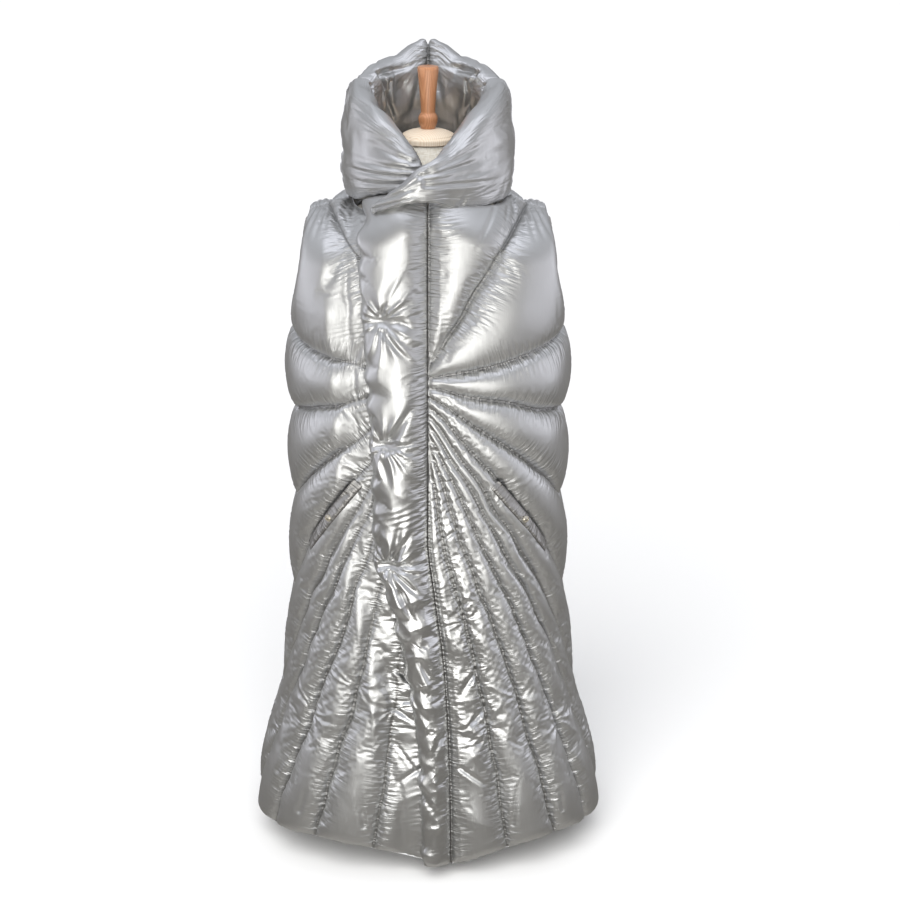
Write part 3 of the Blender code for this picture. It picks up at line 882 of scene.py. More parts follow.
@dataclass
class QuiltedPanels:
    """The four padded half panels of the vest."""

    wall: Wall
    spacing: float = 0.0056  # of the sheet that is filled, which is then split to half of it
    back_spacing: float = 0.030
    centre_underlap: float = 0.014
    seam_thickness: float = 0.008
    puff_limit: float = 0.029
    puff_per_width: float = 0.44
    start_share: float = 0.88  # how full the sheet starts, before it is blown up
    ray_clearance: float = 0.55  # least distance of a free point from a ray, in spacings
    seam_wander: float = 0.0013  # how far the seams stray from their straight lines
    wander_length: float = 0.11
    wander_fade: float = 0.03
    sewn_reach: float = 0.004  # how far the filling may move the cloth beside a seam
    free_reach: float = 0.014  # how much further away from it
    free_from: float = 0.03
    gather: float = 0.0011  # height of the folds that the stitching draws
    gather_spacing: float = 0.0120
    gather_patch: float = 0.12  # size of the patches that are gathered more or less
    centre_gather: tuple[float, float] = (2.2, 1.0)  # share at the centre seam, and the skirt's loss
    ray_gather: tuple[float, float] = (1.1, 0.98)
    full_gather_width: float = 0.045  # of a channel; a narrower one gathers less
    edge_gather: float = 0.0018  # height of those along the outline
    placket_gather: float = 0.0022  # height of those beside the placket
    placket_shadow: float = 0.004  # from the placket's edge to where they are highest
    crush: float = 0.0060  # height of the crushed foil near the middle
    crush_size: float = 0.095
    full_crush_width: float = 0.09
    dent: float = 0.0003  # height of the soft dents all over
    dent_size: float = 0.085
    crease_clear: float = 0.012  # off a ray, where crushing and dents are full
    rim_clear: float = 0.005
    tuck_arms: int = 7
    tuck_shift: float = 0.02  # how far the tucks move along their rays from panel to panel
    fine_gather: tuple[float, float] = (0.062, 0.48)  # reach of the finish's folds: most, and by width
    fine_loss: float = 0.45  # how much of them the skirt loses
    under_placket_puff: float = 0.003
    under_placket_blend: float = 0.045
    under_placket_clear: float = 0.030
    rim: Array = rows_field(
        "channel thickness round reach",
        (-1.0, 0.0120, 0.020, 0.018), (0.00, 0.0090, 0.024, 0.018), (0.55, 0.0110, 0.026, 0.022),
        (0.75, 0.0190, 0.060, 0.045), (1.00, 0.0200, 0.064, 0.048), (1.20, 0.0160, 0.050, 0.040),
        (1.50, 0.0095, 0.032, 0.020), (2.00, 0.0080, 0.030, 0.018), (2.10, 0.0110, 0.022, 0.018),
        (6.95, 0.0110, 0.022, 0.018), (7.10, 0.0100, 0.034, 0.018), (11.0, 0.0100, 0.034, 0.018),
    )
    tucks: Array = rows_field(
        "ray share radius height seed",
        (7, 0.80, 0.022, 0.0040, 1),
        (8, 0.70, 0.030, 0.0070, 2),
        (9, 0.62, 0.026, 0.0065, 3),
        (9, 0.86, 0.018, 0.0030, 4),
        (10, 0.66, 0.030, 0.0070, 5),
        (10, 0.40, 0.024, 0.0060, 6),
        (5, 0.34, 0.016, 0.0040, 7),
        (4, 0.45, 0.016, 0.0020, 8),
        (3, 0.42, 0.016, 0.0020, 9),
        (2, 0.55, 0.018, 0.0020, 10),
    )
    pulls: Array = rows_field(
        CREASE_COLUMNS,
        (0.160, 1.290, 0.180, 1.205, 0.0036, 0.0038),
        (0.172, 1.290, 0.200, 1.195, 0.0034, 0.0036),
        (0.186, 1.280, 0.220, 1.190, 0.0030, 0.0036),
        (0.150, 1.285, 0.158, 1.225, 0.0028, 0.0038),
        (0.120, 1.290, 0.105, 1.215, 0.0026, 0.0040),
        (0.090, 1.285, 0.068, 1.200, 0.0026, 0.0040),
        (0.240, 1.060, 0.215, 1.130, 0.0020, 0.0045),
        (0.255, 0.890, 0.215, 0.915, 0.0018, 0.0045),
        (0.300, 0.170, 0.275, 0.225, 0.0030, 0.0050),
        (0.235, 0.120, 0.220, 0.185, 0.0030, 0.0050),
        (0.120, 0.110, 0.130, 0.220, 0.0035, 0.0050),
        (0.060, 0.420, 0.020, 0.365, 0.0060, 0.0050),
        (0.075, 0.345, 0.015, 0.300, 0.0060, 0.0050),
        (0.060, 0.560, 0.015, 0.520, 0.0050, 0.0045),
        (0.052, 0.700, 0.012, 0.670, 0.0040, 0.0040),
        (0.020, 0.230, 0.085, 0.180, 0.0050, 0.0050),
    )
    sheets: list[PanelSheet] = field(default_factory=list)

    def past_placket(self, cut: PanelCut, plane: Array) -> Array:
        """Distance round the wall from the placket's free edge."""
        angle, climb = cut.rolled(plane)
        return angle * self.wall.half_width(climb) - profile(PLACKET_EDGE, "free_edge", climb)

    def thickness(
        self, cut: PanelCut, plane: Array, quilting: Quilting, edge: Array, rim: Array, under: bool
    ) -> Array:
        """Padding at points of a panel.

        It is the seam's thickness plus a puff, which grows with the channel's width up to a
        limit, as a half circle's height, the root of 4 share (1 - share), between the rays, and
        rounds down to the outline as a quarter circle does.

        Args:
            cut: the panel's outline.
            plane: the points.
            quilting: where they lie in it.
            edge: their distances from the outline.
            rim: the rim's style at the nearest point of the outline.
            under: whether the placket lies on the panel and flattens it.

        Returns:
            Thickness at each point, in metres.
        """
        puff = self.puff_limit * np.tanh(self.puff_per_width * quilting.width / self.puff_limit)
        if under:
            past = self.past_placket(cut, plane) - self.under_placket_clear
            shown = smooth_step(past / self.under_placket_blend)
            puff = self.under_placket_puff + (puff - self.under_placket_puff) * shown
        base = self.seam_base(rim["thickness"], edge, rim)
        puff = self.start_share * puff * half_round(quilting.share)
        return base + puff * quarter_round(edge / rim["round"])

    def seam_base(self, thickness: Array, edge: Array, rim: Array) -> Array:
        """A thickness at the outline that falls to the seams' thickness by the rim's reach."""
        return self.seam_thickness + (thickness - self.seam_thickness) * np.exp(-((edge / rim["reach"]) ** 2))

    def sheet(self, name: str, face: Face, side: Side, inset: float) -> PanelSheet:
        """Cuts a panel's outer sheet into even triangles that follow its seams and lifts it.

        Args:
            name: the panel's node.
            face: front or back.
            side: the wearer's side.
            inset: where its centre seam is, off the centre line.

        Returns:
            The sheet.
        """
        cut, seed = PanelCut(self.wall, face, inset), 10 * len(self.sheets)
        rows = cut.outline(self.spacing)
        loop = rows[:, :2]
        starts, ends = cut.rays()
        rays = [spaced(np.array(pair), self.spacing) for pair in zip(starts[1:-1], ends[1:-1])]
        points, seams, count = [loop], [], len(loop)
        for ray in rays:
            first, last = (int(nearest(end[None], loop)[1][0]) for end in (ray[0], ray[-1]))
            run = np.concatenate([[first], np.arange(count, count + len(ray) - 2), [last]])
            seams.append(np.stack([run[:-1], run[1:]], 1))
            points.append(ray[1:-1])
            count += len(ray) - 2
        sewn = np.concatenate(points)
        free = lattice(loop, self.spacing)
        free = free[cut.quilting(free).off > self.ray_clearance * self.spacing]
        plane = np.concatenate([sewn, free])
        faces = triangulated(plane, len(loop), np.concatenate(seams))
        quilting = cut.quilting(plane)
        edge, near = nearest(plane, loop)
        keys = "thickness round reach"
        rim = table(keys, *zip(*(profile(self.rim, key, rows[near, 2]) for key in keys.split())))
        if name == "front_right":
            rim["thickness"][rows[near, 2] < 0] = self.seam_thickness
        thick = self.thickness(cut, plane, quilting, edge, rim, under=name == "front_right")
        at_rim = self.thickness(cut, plane, quilting, 0 * edge, rim, under=False)
        sewn_down = np.arange(len(plane)) < len(sewn)
        thick = np.where(sewn_down, self.seam_base(at_rim, edge, rim), thick)
        wander = np.stack([rolling(plane, self.wander_length, seed + i) for i in (1, 2)], 1)
        wander *= (self.seam_wander * np.clip(edge / self.wander_fade, 0, 1))[:, None]
        angle, climb = cut.rolled(plane + wander)
        place, normal = self.wall.place(face, side, angle, climb)
        outer = place + normal * thick[:, None]
        around = np.cumsum(np.linalg.norm(loop - np.roll(loop, 1, axis=0), axis=1))[near]
        where = (edge, around, (rows[near, 2] >= 0).astype(float), self.crushed(plane))
        rim_points = np.arange(len(loop))
        made = PanelSheet(name, cut, side, seed, plane, rim_points, faces, quilting, *where, normal, outer)
        self.sheets.append(made)
        return made

    def crushed(self, plane: Array) -> Array:
        """How crushed the foil is: most along the centre seam, under the chest.

        The crushed strip ends 70 mm from the seam, and 120 mm from it in the skirt, over 60 mm.
        Above 0.84 m it fades to 0.08 by 0.98 m. Below 0.34 m it fades to 0.35 by 0.16 m.

        Args:
            plane: the points, n by 2.

        Returns:
            0 where the foil is smooth to 1 where it is crushed.
        """
        out, up = plane.T
        strip = smooth_step((0.070 + 0.05 * smooth_step((0.9 - up) / 0.5) - out) / 0.06)
        under_chest = 0.08 + 0.92 * smooth_step((0.98 - up) / 0.14)
        return strip * under_chest * (0.35 + 0.65 * smooth_step((up - 0.16) / 0.18))

    def cut_all(self, filling: Filling) -> None:
        """Cuts the four sheets and hands them over to be filled."""
        for name, face, side, inset in (
            ("front_left", Face.FRONT, Side.LEFT, SEAM_GAP / 2),
            ("front_right", Face.FRONT, Side.RIGHT, self.centre_underlap),
            ("back_left", Face.BACK, Side.LEFT, SEAM_GAP / 2),
            ("back_right", Face.BACK, Side.RIGHT, SEAM_GAP / 2),
        ):
            made = self.sheet(name, face, side, inset)
            pinned = (made.quilting.off < 1e-5).astype(float)
            pinned[made.rim] = 1
            reach = self.sewn_reach + self.free_reach * np.clip(made.quilting.off / self.free_from, 0, 1)
            filling.add(Shell(name, made.outer, made.faces, pinned, reach))

    def doubled(self, made: PanelSheet, outer: Array) -> tuple[PanelSheet, Array]:
        """A filled sheet with every triangle split into four.

        Args:
            made: the sheet.
            outer: its filled points.

        Returns:
            The finer sheet and its points.
        """
        count = len(made.plane)
        pairs, faces = halved(made.faces, count)
        kept = ("plane", "edge", "around", "free_rim", "crumple", "normal")
        old = {key: getattr(made, key) for key in kept}
        new = {key: np.concatenate([values, values[pairs].mean(1)]) for key, values in old.items()}
        sides = np.sort(np.stack([made.rim, np.roll(made.rim, -1)], 1), axis=1)
        middle = np.searchsorted(pairs @ [count, 1], sides @ [count, 1]) + count
        rim = np.stack([made.rim, middle], 1).ravel()
        new["normal"] = normalised(new["normal"])
        outer = np.concatenate([outer, bulged(outer, made.faces, pairs)])
        quilting = made.cut.quilting(new["plane"])
        return replace(made, rim=rim, faces=faces, quilting=quilting, outer=outer, **new), outer

    def creases(self, made: PanelSheet) -> Array:
        """Height of a panel's folds off its filled surface.

        Sums the folds that the stitching draws across every seam, crushed foil near the middle,
        soft dents, a few listed long pulls and stars of tucks on the rays.

        Args:
            made: the panel's sheet, filled and doubled.

        Returns:
            Height at each point.
        """
        quilting, plane, seed = made.quilting, made.plane, made.seed + 5
        centre = (quilting.ray == 0) | (quilting.ray == made.cut.last)
        skirt = in_skirt(plane[:, 1])
        at_centre, by_rays = (full - loss * skirt for full, loss in (self.centre_gather, self.ray_gather))
        share = np.where(centre, at_centre, by_rays)
        share = share * np.clip(0.85 + 0.5 * rolling(plane, self.gather_patch, seed + 6), 0.2, 1.6)
        share = share * np.where(centre, 1, smooth_step(quilting.width / self.full_gather_width))
        folds = gathered(quilting.run, quilting.off, quilting.ray, self.gather_spacing, seed)
        height = self.gather * share * folds
        bunched = gathered(made.around, made.edge, 0 * made.edge, 1.2 * self.gather_spacing, seed + 7)
        height += self.edge_gather * made.free_rim * bunched
        if made.name == "front_right":
            beside = np.abs(self.past_placket(made.cut, plane) - self.placket_shadow)
            bunched = gathered(plane[:, 1], beside, 0 * beside, 1.1 * self.gather_spacing, seed + 8)
            height += self.placket_gather * (1 - 0.6 * skirt) * bunched
        clear = np.clip(quilting.off / self.crease_clear, 0, 1)
        wide = 0.05 + 0.95 * smooth_step(quilting.width / self.full_crush_width)
        height += self.crush * made.crumple * clear * wide * crumpled(plane, self.crush_size, seed + 2)
        height += self.dent * (1 - made.crumple) * clear * rolling(plane, self.dent_size, seed + 3)
        height += creased(plane, self.pulls)
        starts, ends = made.cut.rays()
        for tuck in self.tucks:
            ray = int(tuck["ray"])
            share = tuck["share"] + self.tuck_shift * (seed % 3 - 1)
            at = starts[ray] + (ends[ray] - starts[ray]) * share
            seed_here = int(tuck["seed"]) + seed
            height += tuck["height"] * star(plane, at, self.tuck_arms, tuck["radius"], seed_here)
        return height * np.clip(made.edge / self.rim_clear, 0, 1)

    def closed(self, made: PanelSheet, outer: Array) -> Piece:
        """Joins a filled sheet to its back, which is the bare wall in few large triangles.

        Args:
            made: the panel's sheet.
            outer: its filled points.

        Returns:
            The closed panel.
        """
        cut, count = made.cut, len(made.plane)
        loop = made.plane[made.rim]
        plane = np.concatenate([loop, lattice(loop, self.back_spacing)])
        back_faces = triangulated(plane, len(loop), np.empty((0, 2), int))
        angle, climb = cut.rolled(plane)
        inner = self.wall.point(cut.face, angle * made.side.value, climb)
        under = np.arange(len(loop)) + count
        after, under_after = np.roll(made.rim, -1), np.roll(under, -1)
        faces = np.concatenate(
            [
                facing(made.faces, made.plane, 1),
                np.stack([made.rim, after, under_after], 1)[:, ::-1],
                np.stack([made.rim, under_after, under], 1)[:, ::-1],
                facing(back_faces, plane, -1) + count,
            ]
        )
        quilting, (most, by_width) = made.quilting, self.fine_gather
        reach = np.minimum(most, by_width * quilting.width)
        gathering = smooth_step(1 - quilting.off / reach) * smooth_step(quilting.width / 0.03)
        gathering *= 1 - self.fine_loss * in_skirt(made.plane[:, 1])
        # the distance off the rays also places the foil's painted seam shade
        outside = (gathering, quilting.off, quilting.run + 3 * quilting.ray, made.crumple)
        behind = (0.0, 1.0, 1.0, 0.0)
        values = (np.append(near, np.full(len(inner), far)) for near, far in zip(outside, behind))
        points = np.concatenate([outer, inner])
        return make_object(f"{made.name}_down", points, faces, foil_values(*values))

    def build(self, filled: dict[str, Array]) -> None:
        """The four closed panels, in place of the CAD's.

        Args:
            filled: each sheet's filled points by its name.
        """
        for made in self.sheets:
            fine, outer = self.doubled(made, filled[made.name])
            piece = self.closed(fine, outer + fine.normal * self.creases(fine)[:, None])
            finish_piece(piece, "foil_coated_nylon", made.name)


def facing(faces: Array, plane: Array, turn: int) -> Array:
    """Triangles of a plane, all turned one way round: anticlockwise for 1, clockwise for -1."""
    a, b, c = (plane[faces[:, i]] for i in range(3))
    area = (b[:, 0] - a[:, 0]) * (c[:, 1] - a[:, 1]) - (b[:, 1] - a[:, 1]) * (c[:, 0] - a[:, 0])
    return np.where((area * turn > 0)[:, None], faces, faces[:, ::-1])


def finish_piece(piece: Piece, slot: str, *nodes: str) -> None:
    """Gives a piece its material, rides it on the one body and puts it in place of CAD nodes.

    Args:
        piece: the piece.
        slot: its material's slot in the record.
        nodes: the CAD nodes that it stands for.
    """
    piece.data.materials.append(MATERIALS[slot])
    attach(piece, "root")
    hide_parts(*nodes)
    LOG.info("%s: %d vertices", piece.name, len(piece.data.vertices))


# ---- Grids and turned shapes ----


def tube_faces(rings: int, sides: int, closed: bool) -> Array:
    """Quads of a skin through rings of points, joined end to end if it closes on itself.

    Args:
        rings: how many rings.
        sides: points in each.
        closed: whether the last ring joins the first.

    Returns:
        Quads by point number, ring after ring.
    """
    ring = np.arange(rings if closed else rings - 1)[:, None] * sides
    after_ring = (ring + sides) % (rings * sides)
    side = np.arange(sides)[None, :]
    after = (side + 1) % sides
    return np.stack([ring + side, ring + after, after_ring + after, after_ring + side], -1).reshape(-1, 4)


def capped_tube(rings: Array) -> tuple[Array, Array]:
    """A tube's points and triangles, with each end closed by a fan round its middle."""
    count, sides = rings.shape[:2]
    quads = tube_faces(count, sides, closed=False)
    side = np.arange(sides)
    after = np.roll(side, -1)
    last = (count - 1) * sides
    ends = [
        np.stack([after, side, np.full(sides, count * sides)], 1),
        np.stack([last + side, last + after, np.full(sides, count * sides + 1)], 1),
    ]
    points = np.concatenate([rings.reshape(-1, 3), rings[0].mean(0)[None], rings[-1].mean(0)[None]])
    return points, np.concatenate([quads[:, [0, 1, 2]], quads[:, [0, 2, 3]], *ends])


def turned(outline: Array, centre: Array, axis: Array, sides: int) -> tuple[Array, Array]:
    """A solid turned round an axis.

    Args:
        outline: rows of radius and height, upwards.
        centre: the point at height 0.
        axis: unit vector up the axis.
        sides: points in each ring.

    Returns:
        Its points and triangles.
    """
    helper = np.array([1.0, 0, 0]) if abs(axis[0]) < 0.9 else np.array([0, 1.0, 0])
    u = normalised(np.cross(axis, helper))
    v = np.cross(axis, u)
    turn = full_turn(sides)
    circle = np.cos(turn)[:, None] * u + np.sin(turn)[:, None] * v
    rings = centre + outline[:, 0, None, None] * circle + outline[:, 1, None, None] * axis
    return capped_tube(rings)


def spaced_smooth(line: Array, steps: int) -> Array:
    """A smooth line through points: each pair is joined by a cubic that follows its neighbours.

    Args:
        line: the points it passes through.
        steps: points made for each pair.

    Returns:
        Points along the curve.
    """
    slope = np.gradient(line, axis=0)
    t = np.linspace(0, 1, steps, endpoint=False)[None, :, None]
    made = cubic(t, line[:-1, None], line[1:, None], slope[:-1, None], slope[1:, None])
    return np.concatenate([made.reshape(-1, line.shape[1]), line[-1:]])


def outline(rows: Array, steps: int) -> Array:
    """A turned outline's radii and heights, smoothed between its points."""
    return spaced_smooth(np.stack([rows["radius"], rows["height"]], 1), steps)


# ---- Placket ----


@dataclass
class Placket:
    """The padded fly strip from the centre seam to its free edge, tacked down in three places."""

    wall: Wall
    cut: PanelCut
    columns: int = 30
    row_spacing: float = 0.0042
    step_up: float = 0.012
    blend: float = 0.040
    root_lift: float = 0.002
    lift: float = 0.0150
    root_thickness: float = 0.011
    puff: float = 0.019
    rolled_from: float = 0.90
    end_round: float = 0.020
    ragged: float = 0.0022  # how far the free edge strays
    ragged_length: float = 0.055
    thinnest: float = 0.0025
    least_clear: float = 0.0012  # least padding left over the back once the folds are laid
    sewn_reach: float = 0.004  # how far the filling may move the cloth beside a seam
    free_reach: float = 0.010  # how much further away from it
    tacks: Array = rows_field(
        "height reach depth arms reach_of_star",
        (1.092, 0.076, 0.011, 13, 0.042),
        (0.866, 0.074, 0.015, 11, 0.038),
        (0.635, 0.069, 0.015, 11, 0.044),
    )
    bar: tuple[float, float] = (0.014, 0.006)  # half length and half height of a tack's stitched bar
    tack_pull: tuple[float, float] = (0.026, 0.015)  # how far the pull spreads, round and up
    star_height: float = 0.0110
    crush: float = 0.0030
    crush_size: float = 0.044
    root_gather: float = 0.0028
    root_gather_spacing: float = 0.0115
    fine_gather: float = 0.040  # how far the finish's folds reach from the seam
    folds: Array = rows_field(
        CREASE_COLUMNS,
        (0.070, 0.864, 0.008, 0.975, 0.0120, 0.0080),
        (0.082, 0.868, 0.100, 0.950, 0.0070, 0.0060),
        (0.056, 0.868, 0.020, 0.868, 0.0080, 0.0050),
        (0.080, 1.100, 0.030, 1.190, 0.0040, 0.0045),
        (0.076, 1.075, 0.020, 1.010, 0.0045, 0.0045),
        (0.070, 0.625, 0.022, 0.470, 0.0120, 0.0070),
        (0.052, 0.638, 0.006, 0.640, 0.0080, 0.0050),
        (0.062, 0.620, 0.008, 0.560, 0.0080, 0.0055),
        (0.064, 0.645, 0.010, 0.730, 0.0070, 0.0060),
        (0.085, 0.850, 0.050, 0.760, 0.0045, 0.0070),
        (0.060, 0.650, 0.040, 0.760, 0.0055, 0.0065),
        (0.085, 0.655, 0.080, 0.730, 0.0040, 0.0060),
        (0.040, 0.450, 0.015, 0.380, 0.0060, 0.0060),
        (0.060, 0.380, 0.020, 0.300, 0.0050, 0.0060),
        (0.010, 0.300, 0.045, 0.240, 0.0045, 0.0055),
        (0.055, 0.190, 0.015, 0.130, 0.0040, 0.0060),
    )

    def build_sheet(self, filling: Filling) -> None:
        """Lays the strip out and hands its outer sheet over to be filled.

        A point's place is its reach round from the centre seam and its climb. The strip steps
        up off the panel under it within a few millimetres of the seam, and its free edge is
        rolled under.

        Args:
            filling: what fills it.
        """
        low = float(self.cut.hem_climb(np.array(0.0))) + SEAM_GAP
        high = float(self.cut.neck_place(np.array(0.0))[1]) - SEAM_GAP
        rows = round((high - low) / self.row_spacing)
        climb = np.linspace(low, high, rows + 1)[None, :]
        across = np.sin(np.linspace(0, QUARTER, self.columns + 1))[:, None] ** 1.15
        ragged = self.ragged * rolling(climb.T, self.ragged_length, seed=41)[None, :]
        reach = SEAM_GAP + across * (profile(PLACKET_EDGE, "free_edge", climb) + ragged)
        angle = -np.arcsin(reach / self.wall.half_width(climb))
        lift = self.root_lift + (self.lift - self.root_lift) * smooth_step(reach / self.step_up)
        rounded = quarter_round(np.minimum(climb - low, high - climb) / self.end_round)
        crown = half_round(across) ** 0.8
        raised = (self.lift - self.root_lift) * smooth_step(reach / self.blend)
        thick = self.root_lift + self.root_thickness + raised - lift + self.puff * crown * rounded
        roll = np.clip((across - self.rolled_from) / (1 - self.rolled_from), 0, 1)
        thick = thick * np.sqrt(1 - roll**2) * (0.3 + 0.7 * rounded) + 0.0006
        pinned = np.zeros(thick.shape)
        for tack in self.tacks:
            aside, above = reach - tack["reach"], climb - tack["height"]
            away = np.hypot(aside / self.tack_pull[0], above / self.tack_pull[1])
            thick = thick - tack["depth"] * np.exp(-(away**1.4))
            pinned = np.where((np.abs(aside) < self.bar[0]) & (np.abs(above) < self.bar[1]), 1, pinned)
        thick = np.maximum(thick, self.thinnest) * np.where(roll < 1, 1, 0.2)
        self.normal = self.wall.normal(Face.FRONT, angle, climb)
        self.back = self.wall.point(Face.FRONT, angle, climb) + self.normal * lift[..., None]
        outer = self.back + self.normal * thick[..., None]
        pinned[[0, -1]] = pinned[:, [0, -1]] = 1
        self.grid = np.stack(np.broadcast_arrays(reach, climb), axis=-1)
        self.free = crown * rounded * np.sqrt(1 - roll**2)
        may_move = (self.sewn_reach + self.free_reach * crown * rounded).ravel()
        faces = grid_faces(*thick.shape)
        filling.add(Shell("placket", outer.reshape(-1, 3), faces, pinned.ravel(), may_move))

    def creases(self) -> Array:
        """Height of the strip's folds.

        Sums stars of creases round the tacks, listed long folds, crushed foil, which is
        fuller below the waist and again below the lowest tack, and gathers at the seam.

        Returns:
            Height at each point of the doubled grid.
        """
        flat = self.grid.reshape(-1, 2)
        reach, climb = flat.T
        height = creased(flat, self.folds)
        bars = np.zeros(len(flat))
        for seed, tack in enumerate(self.tacks):
            at = (tack["reach"], tack["height"])
            arms = star(flat, at, int(tack["arms"]), tack["reach_of_star"], 3 + seed)
            height += self.star_height * arms
            box = (np.abs(flat - at) / self.bar).max(1)
            bars = np.maximum(bars, smooth_step(2.2 - 1.2 * box))
        lower = 0.35 * smooth_step((0.93 - climb) / 0.2) + 0.65 * smooth_step((0.66 - climb) / 0.12)
        height += self.crush * (0.06 + 0.94 * lower) * crumpled(flat, self.crush_size, seed=42)
        height *= (1 - bars) * np.sqrt(self.free.ravel())
        root = gathered(climb, reach, 0 * climb, self.root_gather_spacing, seed=45)
        root = root * np.clip(reach / 0.004, 0, 1)
        return height + self.root_gather * root

    def build(self, filled: dict[str, Array]) -> None:
        """The closed strip, in place of the CAD's. Its grid is doubled before its folds are laid.

        Args:
            filled: each sheet's filled points by its name.
        """
        outer = finer(filled["placket"].reshape(self.back.shape)).reshape(-1, 3)
        self.grid, self.free = finer(self.grid), np.maximum(finer(self.free), 0)
        normal = normalised(finer(self.normal)).reshape(-1, 3)
        back = finer(self.back).reshape(-1, 3)
        outer = outer + normal * self.creases()[:, None]
        over = ((outer - back) * normal).sum(1)
        outer += normal * np.maximum(self.least_clear * (self.free.ravel() > 0.05) - over, 0)[:, None]
        reach, climb = self.grid.reshape(-1, 2).T
        gathering = smooth_step(1 - reach / self.fine_gather) * (1 - 0.6 * in_skirt(climb))
        crumple = 0.35 + 0.65 * smooth_step((0.93 - climb) / 0.2)
        # the distance from the centre seam also places the foil's painted seam shade along the strip's root
        values = foil_values(*(np.tile(value, 2) for value in (gathering, reach, climb, crumple)))
        points, faces = closed_grid(outer, back, *self.free.shape)
        piece = make_object("placket_down", points, faces, values)
        finish_piece(piece, "foil_coated_nylon", "front_placket")


def grid_faces(columns: int, rows: int) -> Array:
    """Quads of a grid of points, column by column."""
    index = np.arange(columns * rows).reshape(columns, rows)
    return np.stack([index[:-1, :-1], index[1:, :-1], index[1:, 1:], index[:-1, 1:]], -1).reshape(-1, 4)


def closed_grid(front: Array, back: Array, columns: int, rows: int) -> tuple[Array, Array]:
    """Points and quads of a slab between two grids of points, joined round their rims.

    Args:
        front: the outer grid's points.
        back: the inner grid's points.
        columns: how many columns each has.
        rows: how many rows.

    Returns:
        The points and the quads.
    """
    index = np.arange(columns * rows).reshape(columns, rows)
    rim = np.concatenate([index[:, 0], index[-1, 1:], index[-2::-1, -1], index[0, -2:0:-1]])
    after, count = np.roll(rim, -1), columns * rows
    faces = grid_faces(columns, rows)
    sides = np.stack([after, rim, rim + count, after + count], 1)
    return np.concatenate([front, back]), np.concatenate([faces, faces[:, ::-1] + count, sides])


# ---- Hood ----

WALL_COLUMNS = "turn bottom top thickness outset"


@dataclass(frozen=True, eq=False)
class WallPiece:
    """One padded length of the wall round the neck, by degrees from the centre back.

    Its main creases are listed, by metres round from the centre back and metres up.
    """

    name: str
    node: str
    side: Side
    rows: Array
    outer_creases: Array
    inner_creases: Array


